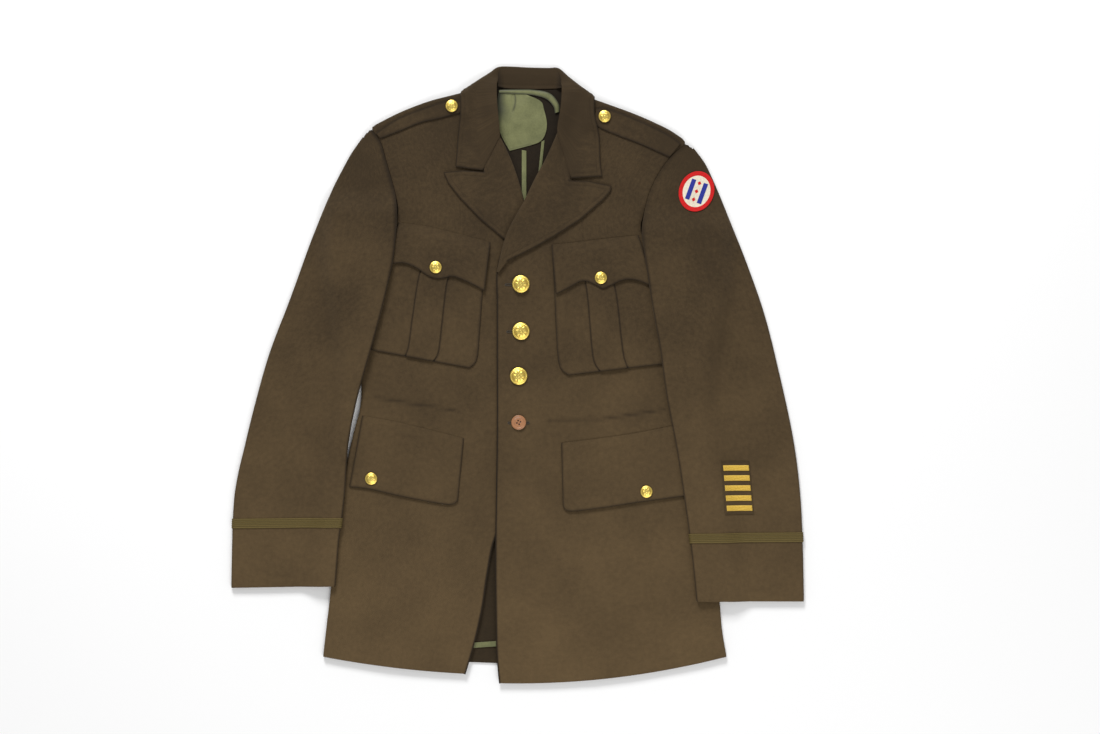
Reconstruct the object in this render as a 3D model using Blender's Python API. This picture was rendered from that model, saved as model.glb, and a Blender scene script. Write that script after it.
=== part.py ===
# Officer's service coat, buttoned and laid flat on its back, in millimetres until the mesh is made.
# +X is the wearer's left, +Y runs from hem to collar, +Z is up. Right and left are the wearer's.
import math

import bmesh
import bpy
from mathutils import Matrix, Vector

for old in list(bpy.data.objects):
    bpy.data.objects.remove(old)

MM = 0.001
FRAME_SHIFT = (0.5, -1.0, 0)  # brings the middle of the footprint to the origin

# Cloth and seams
CLOTH = 2.0  # back, sleeves, lapels and collar
FRONT = 2.4  # fronts, with their canvas
HOLLOW = 3.0  # room between the back and the fronts, and inside a sleeve
SEAM = 0.3  # gap at a seam
REST = 0.45  # gap under a piece that lies on another
LAPEL_REST = 1.3  # the same under a lapel or the collar
PAD = 1.0  # extra thickness at the shoulder pads
BODY = CLOTH + HOLLOW + FRONT  # height of the body, lying flat
SLEEVE = CLOTH + HOLLOW + CLOTH
COLLAR_LIFT = 2.9  # how far the turned-down collar lifts the back at the neck
FOLD_TURN = math.radians(85)  # how far a panel turns down at a side fold
SEAM_TURN = math.radians(14)  # the same at an armhole
FOLD_STEPS = 3

# Colours, roughness and metallic
WOOL = ("wool", (0.055, 0.040, 0.022), 0.9, 0.0)
BRAID = ("braid", (0.125, 0.098, 0.036), 0.8, 0.0)
LINING = ("lining", (0.110, 0.125, 0.070), 0.6, 0.0)
BRASS = ("brass", (0.83, 0.58, 0.15), 0.28, 1.0)
HORN = ("horn", (0.36, 0.17, 0.08), 0.35, 0.0)
PATCH_RED = ("patch_red", (0.55, 0.02, 0.02), 0.8, 0.0)
GOLD_THREAD = ("gold_thread", (0.72, 0.44, 0.06), 0.6, 0.0)

# Outlines in plan, x and y. Each table runs from the hem or cuff upwards.
SIDE = {
    "right": [(-257, -370), (-253, -335), (-245, -265), (-235, -164), (-219, -84), (-207, -32), (-211, 34),
              (-228, 133)],
    "left": [(275, -370), (269, -335), (263, -265), (252, -177), (236, -98), (226, -45), (230, 21),
             (249, 120)],
}
ARM_HIDDEN = {  # front armhole from the underarm to where the sleeve stops lying over it
    "right": [(-228, 133), (-188, 146), (-166, 175), (-158, 213)],
    "left": [(249, 120), (208, 132), (174, 158), (162, 190)],
}
ARM_SEAM = {  # the seam that shows, up to the shoulder tip
    "right": [(-158, 213), (-161, 239), (-172, 279), (-182, 312), (-192, 328)],
    "left": [(162, 190), (166, 216), (176, 250), (194, 280), (220, 309)],
}
ARM_BACK = {
    "right": [(-228, 133), (-199, 180), (-189, 232), (-187, 285), (-192, 328)],
    "left": [(249, 120), (226, 155), (212, 213), (212, 265), (220, 309)],
}
SHOULDER = {  # from the tip to the neck
    "right": [(-192, 328), (-156, 346), (-116, 361), (-78, 371), (-32, 384)],
    "left": [(220, 309), (200, 322), (160, 341), (118, 357), (64, 377)],
}
FRONT_EDGE = {  # from the hem to the break of the lapel
    "right": [(-69, -393), (-56, -348), (-46, -302), (-33, -223), (-12, -177), (14, -124), (32, -61),
              (33, 34), (33, 133)],
    "left": [(-25, -405), (-28, -375), (-30, -243), (-28, -84), (-28, 34), (-28, 137)],
}
ROLL = {  # fold of the lapel from the break to the gorge seam
    "right": [(33, 133), (8, 232), (-4, 272), (-14, 296), (-22, 312)],
    "left": [(-28, 137), (-15, 186), (9, 232), (25, 265), (36, 285), (50, 316)],
}
NECK_SIDE = {  # neckline from the gorge to the shoulder
    "right": [(-22, 312), (-26, 338), (-28.5, 360), (-32, 384)],
    "left": [(50, 316), (54.5, 338), (58, 358), (64, 377)],
}
HEM_BOW = {"right": -3.0, "left": -10.0}  # how far the front hem drops below a straight line
LAPEL_EDGE = {  # share of the roll's length, then x and y of the outer edge, from the break to the peak
    "right": [(0, 18, 147), (0.42, -18, 180), (0.6, -50, 207), (0.76, -77, 235), (0.9, -92, 254),
              (1, -98, 268)],
    "left": [(0, -14, 151), (0.14, 0, 158), (0.28, 22, 169), (0.42, 48, 184), (0.6, 82, 206),
             (0.83, 112, 232), (0.95, 121.5, 243), (1, 123, 250)],
}
LAPEL_GORGE = {  # top edge from the fold, by the notch, to the peak
    "right": [(-44, 268.4), (-72, 270.5), (-98, 268)],
    "left": [(67, 257.2), (95, 256), (123, 250)],
}
SLEEVE_OUTER = {  # from the cuff to the shoulder tip
    "right": [(-378, -279), (-376, -190), (-372, -144), (-363, -104), (-347, -38), (-327, 32), (-301, 100),
              (-272, 180), (-246, 243), (-226, 282), (-210, 308), (-206, 313)],
    "left": [(377, -297), (375, -210), (371, -144), (362, -78), (345, 1), (325, 81), (301, 150), (280, 203),
             (260, 252), (245, 283), (237, 294), (233, 298.5)],
}
SLEEVE_INNER = {  # the free fold, from the cuff to where the armhole seam comes out
    "right": [(-240, -277), (-235, -216), (-230, -180), (-226, -140), (-224, -100), (-216, -51), (-206, -12),
              (-193, 34), (-182, 74), (-172, 114), (-164, 150), (-160, 186), (-158.4, 212)],
    "left": [(235, -297), (228, -230), (219, -164), (209, -98), (195, -25), (187, 34), (181, 67), (173, 114),
             (168, 150), (163, 176), (162.4, 189)],
}
UNDERARM_CROSSING = {  # the under sleeve's top edge, over the front, from the free fold to the underarm
    "right": [(-176, 97), (-196, 112), (-231, 136)],
    "left": [(176, 94), (205, 104), (252, 122)],
}
WAY = {"right": -1, "left": 1}  # the direction in x from the middle of the coat to each side
BODY_ROWS = {"right": 12, "left": 14}  # rows from the hem to the underarm
HIDDEN_ROWS = 3
SEAM_ROWS = 5

# What lies under a sleeve, as the height added to the front at each y
SLEEVE_COVER = {
    "right": [(-300, 0.6), (-170, 2.6), (-60, 2.6), (0, 6.8), (230, 6.8)],
    "left": [(-320, 0.6), (-200, 2.6), (-70, 3.2), (-10, 7.2), (220, 7.2)],
}
RAMP_START = 10.0  # the sleeve stays level this far past the body's side
RAMP_LENGTH = 34.0  # and then comes down to the floor over this length

# Buttons
BIG_BUTTON = 22.9  # 36 ligne
SMALL_BUTTON = 15.9  # 25 ligne
WAIST_BUTTON = 19.5


def smooth(value):
    value = min(1.0, max(0.0, value))
    return value * value * (3 - 2 * value)


def mix(a, b, share):
    return a + (b - a) * share


def curve(points, count):
    """count + 1 points spread evenly along a smooth curve through the points."""
    points = [Vector(p) for p in points]
    fine = []
    for i in range(len(points) - 1):
        before = points[max(i - 1, 0)]
        start, end = points[i], points[i + 1]
        after = points[min(i + 2, len(points) - 1)]
        for step in range(12):
            t = step / 12
            bent = (2 * before - 5 * start + 4 * end - after) * t**2
            fine.append(0.5 * (2 * start + (end - before) * t + bent
                               + (3 * start - before - 3 * end + after) * t**3))
    fine.append(points[-1])
    lengths = [0.0]
    for a, b in zip(fine, fine[1:]):
        lengths.append(lengths[-1] + (b - a).length)
    spread = []
    span = 0
    for i in range(count + 1):
        goal = lengths[-1] * i / count
        while span < len(fine) - 2 and lengths[span + 1] < goal:
            span += 1
        share = (goal - lengths[span]) / (lengths[span + 1] - lengths[span])
        spread.append(fine[span].lerp(fine[span + 1], share))
    return spread


def along(points, share):
    """The point at a share, 0 to 1, of a list of evenly counted points."""
    place = min(1.0, max(0.0, share)) * (len(points) - 1)
    first = min(int(place), len(points) - 2)
    return points[first].lerp(points[first + 1], place - first)


def lookup(table, value, smoothly=False):
    """A table's second column where its first column has the value."""
    if value <= table[0][0]:
        return table[0][1]
    for (low, first), (high, second) in zip(table, table[1:]):
        if value <= high:
            share = (value - low) / (high - low)
            return mix(first, second, smooth(share) if smoothly else share)
    return table[-1][1]


def curl(share, length, turn):
    """How far cloth has reached, and fallen, after a share of a bend of this length and angle."""
    if turn < 1e-4:
        return length * share, 0.0
    radius = length / turn
    return radius * math.sin(turn * share), radius * (1 - math.cos(turn * share))


def outward(points, share, way):
    """The plan direction square to an outline, towards +X where way is 1 and -X where it is -1."""
    ahead = along(points, share + 0.02) - along(points, share - 0.02)
    across = Vector((ahead.y, -ahead.x)).normalized()
    return across if across.x * way > 0 else -across


def paint(obj, finish):
    name, colour, roughness, metallic = finish
    material = bpy.data.materials.get(name) or bpy.data.materials.new(name)
    material.use_nodes = True
    shader = material.node_tree.nodes["Principled BSDF"]
    shader.inputs["Base Color"].default_value = (*colour, 1)
    shader.inputs["Roughness"].default_value = roughness
    shader.inputs["Metallic"].default_value = metallic
    obj.data.materials.append(material)


def add_object(name, bm, finish, sharp=40):
    """An object from a mesh in millimetres, moved so the footprint's centre is the origin."""
    bmesh.ops.translate(bm, vec=FRAME_SHIFT, verts=bm.verts)
    bmesh.ops.scale(bm, vec=(MM, MM, MM), verts=bm.verts)
    mesh = bpy.data.meshes.new(name)
    bm.to_mesh(mesh)
    bm.free()
    mesh.shade_smooth()
    mesh.set_sharp_from_angle(angle=math.radians(sharp))
    obj = bpy.data.objects.new(name, mesh)
    bpy.context.scene.collection.objects.link(obj)
    paint(obj, finish)
    return obj


def facing(*leans):
    """A unit vector that looks up, leant over by an angle in each of some plan directions."""
    total, up = Vector((0, 0)), 1.0
    for direction, angle in leans:
        total += direction * math.sin(angle)
        up *= math.cos(angle)
    return Vector((total.x, total.y, up)).normalized()


def cloth(name, columns, rows, face, thickness, finish=WOOL):
    """A cloth wall: a grid laid on its outer face, then extruded inwards by its thickness.

    face(a, b) gives a point of the outer face and the way it looks, for a in 0..columns and b in 0..rows.
    """
    bm = bmesh.new()
    bmesh.ops.create_grid(bm, x_segments=columns, y_segments=rows, size=0.5)
    inner = {}
    for vert in bm.verts:
        point, looks = face(round((vert.co.x + 0.5) * columns), round((vert.co.y + 0.5) * rows))
        vert.co = point
        inner[tuple(vert.co)] = point - looks.normalized() * thickness
    made = bmesh.ops.extrude_face_region(bm, geom=bm.faces[:], use_keep_orig=True)
    for vert in [item for item in made["geom"] if isinstance(item, bmesh.types.BMVert)]:
        vert.co = inner[tuple(vert.co)]
    bmesh.ops.recalc_face_normals(bm, faces=bm.faces)
    return add_object(name, bm, finish)


# Heights of the lying cloth

def lift(x, y):
    """The back rises at the neck, over the turned-down collar."""
    edge = 350 + 0.0024 * (x - 14) ** 2
    return COLLAR_LIFT * smooth((y - edge + 70) / 64)


def ripple(x, y):
    """Soft waves in the fronts, never enough to touch the back."""
    return 0.30 * math.sin(x / 41 + y / 170 + 1.1) + 0.22 * math.sin(y / 62 - x / 95)


def pad(x, y):
    """The shoulder pads, thickest at the tips of the shoulders."""
    right = ((x + 180) / 62) ** 2 + ((y - 322) / 52) ** 2
    left = ((x - 208) / 62) ** 2 + ((y - 304) / 52) ** 2
    return PAD * (math.exp(-right) + math.exp(-left))


def under_edge(y):
    """x of the right front's free edge, which the left front covers."""
    points = FRONT_EDGE["right"] + ROLL["right"][1:]
    return lookup([(p[1], p[0]) for p in points], y)


def lapel_bump(x, y):
    """1 where the left front lies over the lower end of the right lapel."""
    inside = 0.677 * (x - 33) + 0.735 * (y - 133)
    return smooth((inside + 44) / 40) * smooth((under_edge(y) + 46 - x) / 38)


def front_top(side, x, y):
    top = BODY + lift(x, y) + ripple(x, y) + pad(x, y)
    if side == "left":
        top += (FRONT + 2 * REST) * smooth((under_edge(y) + 45 - x) / 37)
        top += (CLOTH + LAPEL_REST + REST) * lapel_bump(x, y)
    return top


# Body: the fronts and the two halves of the back

FOLD_LENGTH = BODY / 2 * math.pi / 2 - 0.35
FOLD_RADIUS = FOLD_LENGTH / FOLD_TURN
FOLD_FALL = FOLD_RADIUS * (1 - math.cos(FOLD_TURN))


def body_rows(side, armhole):
    """Rows of a panel's outer edge. The last stops short of the shoulder by the depth of its fold."""
    rows = curve(SIDE[side], BODY_ROWS[side]) + armhole[1:]
    rows[-1] = rows[-1] - Vector((0, FOLD_RADIUS))
    return rows


def front_armhole(side):
    return curve(ARM_HIDDEN[side], HIDDEN_ROWS) + curve(ARM_SEAM[side], SEAM_ROWS)[1:]


def back_armhole(side):
    return curve(ARM_BACK[side], HIDDEN_ROWS + SEAM_ROWS)


def side_turn(row, rows_below):
    """Full fold along the side, and almost none along the armhole."""
    return mix(FOLD_TURN, SEAM_TURN, smooth((row - rows_below + 0.8) / 1.6))


def fold_up(side, share):
    """How far the front's edge turns up at the collar end, where it passes into its lapel and collar."""
    low, high = (0.52, 0.74) if side == "right" else (0.1, 0.5)
    risen = smooth((share - low) / (high - low)) * (1 - 0.85 * smooth((share - 0.86) / 0.12))
    return math.radians(84) * risen


ROLL_LENGTH = 3.4  # of the upward bend, on its inner face
FRONT_COLUMNS = {  # shares of the panel's width, from the side to the front edge
    "right": [0, 0.12, 0.24, 0.36, 0.48, 0.6, 0.72, 0.84, 0.93, 1],
    "left": [0, 0.14, 0.28, 0.42, 0.54, 0.62, 0.69, 0.75, 0.81, 0.87, 0.94, 1],
}


def front_edge(side):
    """Rows of the front's free edge: hem to break, the roll of the lapel, then the neckline."""
    return curve(FRONT_EDGE[side], BODY_ROWS[side]) + curve(ROLL[side], 6)[1:] + curve(NECK_SIDE[side], 2)[1:]


def front(side):
    way = WAY[side]
    outer = body_rows(side, front_armhole(side))
    rows = len(outer) - 1
    low_rows = BODY_ROWS[side]
    edge = front_edge(side)
    shoulder = curve(SHOULDER[side], 8)
    shares = FRONT_COLUMNS[side]
    flat_columns = len(shares) - 1
    columns = FOLD_STEPS + flat_columns + FOLD_STEPS

    def face(a, b):
        row = min(b, rows)
        share = row / rows
        turn = side_turn(row, low_rows)
        left, right = along(outer, share), along(edge, share)
        out, neck = outward(outer, share, way), outward(edge, share, -way)
        reach, _ = curl(1, FOLD_LENGTH, turn)
        up_turn = fold_up(side, max(0.0, (row - low_rows) / (rows - low_rows)))
        up_reach, _ = curl(1, ROLL_LENGTH, up_turn)
        left = left - out * reach
        right = right - neck * (up_reach + FRONT * math.sin(up_turn))
        place = min(flat_columns, max(0.0, a - FOLD_STEPS))
        first = min(int(place), flat_columns - 1)
        across = mix(shares[first], shares[first + 1], place - first)
        point = left.lerp(right, across)
        point.y += HEM_BOW[side] * 4 * across * (1 - across) * smooth(1 - share * 4)
        bow = along(shoulder, across) - shoulder[0].lerp(shoulder[-1], across)
        point += (bow - Vector((0, FOLD_RADIUS * across))) * smooth((share - 0.8) / 0.2)
        over_top, over_side = max(0, b - rows), max(0, FOLD_STEPS - a)
        up_edge = max(0, a - columns + FOLD_STEPS)
        top_reach, top_fall = curl(over_top / FOLD_STEPS, FOLD_LENGTH, FOLD_TURN)
        side_reach, fall = curl(over_side / FOLD_STEPS, FOLD_LENGTH, turn)
        edge_reach, rise = curl(up_edge / FOLD_STEPS, ROLL_LENGTH, up_turn)
        point += out * side_reach + neck * edge_reach
        looks = facing((out, turn * over_side / FOLD_STEPS), (-neck, up_turn * up_edge / FOLD_STEPS),
                       (Vector((0, 1)), FOLD_TURN * over_top / FOLD_STEPS))
        point.y += top_reach
        height = front_top(side, point.x, point.y)
        meets = BODY / 2 + (0.8 if b > rows else 0.5) + lift(point.x, point.y) * 1.1
        fallen = 1 - (1 - fall / FOLD_FALL) * (1 - top_fall / FOLD_FALL)
        return Vector((point.x, point.y, mix(height, meets, fallen) + rise)), looks

    return cloth("front_" + side, columns, rows + FOLD_STEPS, face, FRONT)


BACK_SEAM = [(9, -380), (12, -100), (16, 200), (18, 320), (17, 377.5)]
BACK_NECK = {
    "right": [(-32, 384), (-22, 380), (-8, 377.5), (17, 377.5)],
    "left": [(64, 377), (54, 377.5), (42, 377.5), (17, 377.5)],
}


def back(side):
    way = WAY[side]
    outer = body_rows(side, back_armhole(side))
    rows = len(outer) - 1
    seam = [p + Vector((SEAM / 2 * way, 0)) for p in curve(BACK_SEAM, rows)]
    top = curve(SHOULDER[side], 4) + curve(BACK_NECK[side], 2)[1:]
    flat_columns = 6
    columns = FOLD_STEPS + flat_columns

    def face(a, b):
        row = min(b, rows)
        share = row / rows
        turn = side_turn(row, BODY_ROWS[side])
        out = outward(outer, share, way)
        reach, _ = curl(1, FOLD_LENGTH, turn)
        left, right = along(outer, share) - out * reach, along(seam, share)
        across = min(1.0, max(0.0, (a - FOLD_STEPS) / flat_columns))
        point = left.lerp(right, across)
        bow = along(top, across) - top[0].lerp(top[-1], across)
        at_shoulder = smooth((4.6 - across * 6) / 0.8)
        lower = mix(2.0, FOLD_RADIUS * across, at_shoulder)
        point += (bow - Vector((0, lower))) * smooth((share - 0.8) / 0.2)
        over_top, over_side = max(0, b - rows), max(0, FOLD_STEPS - a)
        side_reach, rise = curl(over_side / FOLD_STEPS, FOLD_LENGTH, turn)
        top_turn = FOLD_TURN * at_shoulder
        top_reach, top_rise = curl(over_top / FOLD_STEPS, mix(2.0, FOLD_LENGTH, at_shoulder), top_turn)
        point += out * side_reach + Vector((0, top_reach))
        looks = facing((out, turn * over_side / FOLD_STEPS),
                       (Vector((0, 1)), top_turn * over_top / FOLD_STEPS))
        looks.z *= -1
        return Vector((point.x, point.y, lift(point.x, point.y) + (rise + top_rise) * 0.95)), looks

    return cloth("back_" + side, columns, rows + FOLD_STEPS, face, CLOTH)


# Sleeves

def over_body(side, x, y, low_end, high_end):
    """Height of whatever a sleeve rests on: the body's front, and a slope from its side to the floor."""
    side_line = sorted((p[1], p[0]) for p in SIDE[side])
    away = (x - lookup(side_line, y)) * (1 if side == "left" else -1)
    slope = 1 - smooth((away - RAMP_START) / RAMP_LENGTH)
    cover = front_top("right", x, y) + lookup(SLEEVE_COVER[side], y, True) + REST
    return cover * slope * smooth((high_end - y) / (high_end - low_end))


SLEEVE_ENDS = {  # y over which each layer leaves the front and comes down beside it
    "right": {"under": (124, 152), "top": (211, 250)},
    "left": {"under": (108, 136), "top": (188, 228)},
}
SLEEVE_FOLDS = {  # soft folds: middle x and y, direction of the crest in degrees, length, width, height
    "right": [(-252, -60, 82, 150, 15, 0.7), (-322, -120, 78, 110, 14, 0.6), (-225, 120, 70, 120, 20, 0.7)],
    "left": [(262, -60, 104, 160, 17, 0.7), (224, 236, 62, 50, 9, 1.6), (262, 95, 108, 130, 26, 1.7)],
}


def sleeve_folds(side, x, y):
    total = 0.0
    for fold_x, fold_y, degrees, length, width, height in SLEEVE_FOLDS[side]:
        angle = math.radians(degrees)
        lengthways = (x - fold_x) * math.cos(angle) + (y - fold_y) * math.sin(angle)
        sideways = (y - fold_y) * math.cos(angle) - (x - fold_x) * math.sin(angle)
        total += height * math.exp(-((lengthways / length * 2) ** 2) - (sideways / width) ** 2)
    return total


def sleeve_height(side, x, y):
    """Top face of a sleeve, level with the front at the armhole."""
    low_end, high_end = SLEEVE_ENDS[side]["top"]
    flush = (BODY - SLEEVE) + pad(x, y) + ripple(x, y) * 0.5
    joined = smooth((y - low_end) / (high_end - low_end))
    return SLEEVE + over_body(side, x, y, low_end, high_end) + flush * joined


SLEEVE_FOLD_LENGTH = SLEEVE / 2 * math.pi / 2 - 0.35


def sleeve_lines(side):
    """Rows shared by both layers of a sleeve, as outer and inner points from the cuff up."""
    inner = curve(SLEEVE_INNER[side], 40)
    outer = curve(SLEEVE_OUTER[side], 60)
    return outer, inner


def sleeve_top_face(side):
    """The outer face of a sleeve's top layer, with its counts of columns and rows."""
    way = WAY[side]
    outer_line, inner_line = sleeve_lines(side)
    seam = [p + Vector((SEAM * way, 0)) for p in body_rows(side, front_armhole(side))[-SEAM_ROWS - 1:]]
    free_rows = 16
    inner = [along(inner_line, i / free_rows) for i in range(free_rows + 1)] + seam[1:]
    rows = len(inner) - 1
    outer = [along(outer_line, 0.05 * i) for i in range(free_rows + 1)]
    outer += [along(outer_line, mix(0.8, 1, (i + 1) / SEAM_ROWS)) for i in range(SEAM_ROWS)]
    flat_columns = 6
    columns = flat_columns + 2 * FOLD_STEPS
    high = SLEEVE_ENDS[side]["top"][0]
    low = SLEEVE_ENDS[side]["under"][0]

    def face(a, b):
        share = b / rows
        left, right = along(outer, share), along(inner, share)
        out, into = outward(outer, share, way), outward(inner, share, -way)
        turn = mix(FOLD_TURN, SEAM_TURN, smooth((b - free_rows + 1.2) / 2))
        tuck = smooth((right.y - low + 10) / 24)
        inner_length = SLEEVE_FOLD_LENGTH * (1 + 0.6 * tuck)
        tip = 1 - 0.25 * smooth((share - 0.85) / 0.15)
        outer_length = SLEEVE_FOLD_LENGTH * tip
        reach, _ = curl(1, outer_length, FOLD_TURN)
        left = left - out * reach
        reach, _ = curl(1, inner_length, turn)
        right = right - into * reach * tip
        shut = (HOLLOW - SEAM) / 2 * smooth((share - 0.93) / 0.07)
        across = min(1.0, max(0.0, (a - FOLD_STEPS) / flat_columns))
        point = left.lerp(right, across)
        folds = sleeve_folds(side, point.x, point.y) * smooth(min(across, 1 - across) / 0.2)
        over_out = max(0, FOLD_STEPS - a) / FOLD_STEPS
        over_in = max(0, a - columns + FOLD_STEPS) / FOLD_STEPS
        out_reach, out_fall = curl(over_out, outer_length, FOLD_TURN)
        in_reach, in_fall = curl(over_in, inner_length, turn)
        point += out * out_reach + into * in_reach * tip
        fall = out_fall + in_fall
        looks = facing((out, FOLD_TURN * over_out), (into, turn * over_in))
        height = sleeve_height(side, point.x, point.y) + folds
        meets = over_body(side, point.x, point.y, *SLEEVE_ENDS[side]["under"]) + SLEEVE / 2 + 0.5
        if a > FOLD_STEPS:
            covered = lookup(SLEEVE_COVER[side], point.y, True) * (1 - smooth((point.y - high + 28) / 25))
            meets = mix(meets, front_top("right", point.x, point.y) + covered + REST + CLOTH + 0.4, tuck)
        length = outer_length if a < FOLD_STEPS else inner_length * tip
        height = mix(height - shut, meets, fall / curl(1, length, FOLD_TURN)[1])
        return Vector((point.x, point.y, height)), looks

    return face, columns, rows


def sleeve_top(side):
    face, columns, rows = sleeve_top_face(side)
    return cloth(f"sleeve_{side}_top", columns, rows, face, CLOTH)


def sleeve_under(side):
    way = WAY[side]
    outer_line, inner_line = sleeve_lines(side)
    low_rows = 12
    crossing = curve(UNDERARM_CROSSING[side], 2)
    armhole = body_rows(side, back_armhole(side))[-HIDDEN_ROWS - SEAM_ROWS:]
    armhole = [p + Vector(((SEAM + 0.3) * way, 0)) for p in armhole]
    inner = [along(inner_line, i / 16) for i in range(low_rows + 1)] + crossing + armhole
    rows = len(inner) - 1
    high_rows = rows - low_rows
    outer = [along(outer_line, 0.05 * i) for i in range(low_rows + 1)]
    outer += [along(outer_line, mix(0.05 * low_rows, 1, (i + 1) / high_rows)) for i in range(high_rows)]
    flat_columns = 6
    columns = flat_columns + 2 * FOLD_STEPS
    low_end, high_end = SLEEVE_ENDS[side]["under"]

    def face(a, b):
        share = b / rows
        left, right = along(outer, share), along(inner, share)
        out, into = outward(outer, share, way), outward(inner, share, -way)
        turn = mix(FOLD_TURN, math.radians(4), smooth((b - low_rows + 1.5) / 1.5))
        tip = 1 - 0.25 * smooth((share - 0.85) / 0.15)
        outer_length = SLEEVE_FOLD_LENGTH * tip
        reach, _ = curl(1, outer_length, FOLD_TURN)
        left = left - out * reach
        reach, _ = curl(1, SLEEVE_FOLD_LENGTH, turn)
        right = right - into * reach * tip
        shut = (HOLLOW - SEAM) / 2 * smooth((share - 0.93) / 0.07)
        across = min(1.0, max(0.0, (a - FOLD_STEPS) / flat_columns))
        point = left.lerp(right, across)
        over_out = max(0, FOLD_STEPS - a) / FOLD_STEPS
        over_in = max(0, a - columns + FOLD_STEPS) / FOLD_STEPS
        out_reach, out_rise = curl(over_out, outer_length, FOLD_TURN)
        in_reach, in_rise = curl(over_in, SLEEVE_FOLD_LENGTH, turn)
        point += out * out_reach + into * in_reach * tip
        looks = facing((out, FOLD_TURN * over_out), (into, turn * over_in))
        looks.z *= -1
        ground = over_body(side, point.x, point.y, low_end, high_end)
        length = outer_length if a < FOLD_STEPS else SLEEVE_FOLD_LENGTH * tip
        risen = (out_rise + in_rise) / curl(1, length, FOLD_TURN)[1]
        height = mix(ground + shut, ground + SLEEVE / 2 - 0.4, risen)
        return Vector((point.x, point.y, height)), looks

    return cloth(f"sleeve_{side}_under", columns, rows, face, CLOTH)


# Lapels and collar

NOTCH_SHARE = {  # where the notch is, as a share of a top edge's length from the fold
    "lapel_right": 0.465, "lapel_left": 0.512, "collar_right": 0.557, "collar_left": 0.585,
}

LAPEL_ROWS = [0, 0.14, 0.28, 0.42, 0.52, 0.6, 0.68, 0.76, 0.83, 0.9, 0.95, 1]
ROLL_OVER = 3.0  # radius of the fold of a lapel or the collar
FALL_BACK = 26.0  # how far from its fold a lapel comes down to lie on the front


def path(points, share):
    """The point at a share of the length of a line with sharp corners."""
    points = [Vector(p) for p in points]
    lengths = [0.0]
    for a, b in zip(points, points[1:]):
        lengths.append(lengths[-1] + (b - a).length)
    goal = share * lengths[-1]
    for i in range(len(points) - 1):
        if goal <= lengths[i + 1] or i == len(points) - 2:
            return points[i].lerp(points[i + 1], (goal - lengths[i]) / (lengths[i + 1] - lengths[i]))


def turned_edge(side, share):
    """Top of the front's turned-up edge, at a share of its rows above the break."""
    _, rise = curl(1, ROLL_LENGTH, fold_up(side, share))
    return rise


def fallen_back(distance):
    """1 at a fold, easing to 0 where the cloth lies flat."""
    return 1 - smooth(distance / FALL_BACK)


def lapel(side):
    way = WAY[side]
    roll = curve(ROLL[side], 24)
    rows = len(LAPEL_ROWS) - 1
    notch = NOTCH_SHARE["lapel_" + side]
    shares = [notch * i / 4 for i in range(5)] + [mix(notch, 1, i / 3) for i in (1, 2, 3)]
    columns = FOLD_STEPS + len(shares) - 1
    edge_table = LAPEL_EDGE[side]
    gorge = LAPEL_GORGE[side]

    def face(a, b):
        low = min(int(b), rows - 1)
        share = mix(LAPEL_ROWS[low], LAPEL_ROWS[low + 1], b - low)
        fold = along(roll, share)
        neck = outward(roll, share, -way)
        place = next(i for i in range(1, len(edge_table)) if edge_table[i][0] >= share - 1e-6)
        (s0, *p0), (s1, *p1) = edge_table[place - 1], edge_table[place]
        edge = Vector(p0).lerp(Vector(p1), (share - s0) / (s1 - s0))
        base = front_top(side, fold.x, fold.y) + turned_edge(side, share * 6 / 8) + 2 * SEAM
        across = shares[max(0, a - FOLD_STEPS)]
        start = fold - neck * ROLL_OVER
        point = start.lerp(edge, across)
        line = start.lerp(Vector(gorge[-1]), across)
        point += (path([start] + gorge, across) - line) * max(0.0, (share - 0.45) / 0.55) ** 1.5
        lies = front_top(side, point.x, point.y) + LAPEL_REST + CLOTH
        top = base + ROLL_OVER
        away = (point - start).length
        lies += 1.3 * (1 - share) if side == "left" else 0.0
        excess = top - front_top(side, fold.x, fold.y) - LAPEL_REST - CLOTH
        height = lies + excess * fallen_back(away)
        turned = max(0, FOLD_STEPS - a) / FOLD_STEPS
        if turned:
            reach, fall = curl(turned, ROLL_OVER * math.pi / 2, math.pi / 2)
            point += neck * reach
            height = top - fall
        return Vector((point.x, point.y, height)), facing((neck, turned * math.pi / 2))

    return cloth("lapel_" + side, columns, rows, face, CLOTH)


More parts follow.
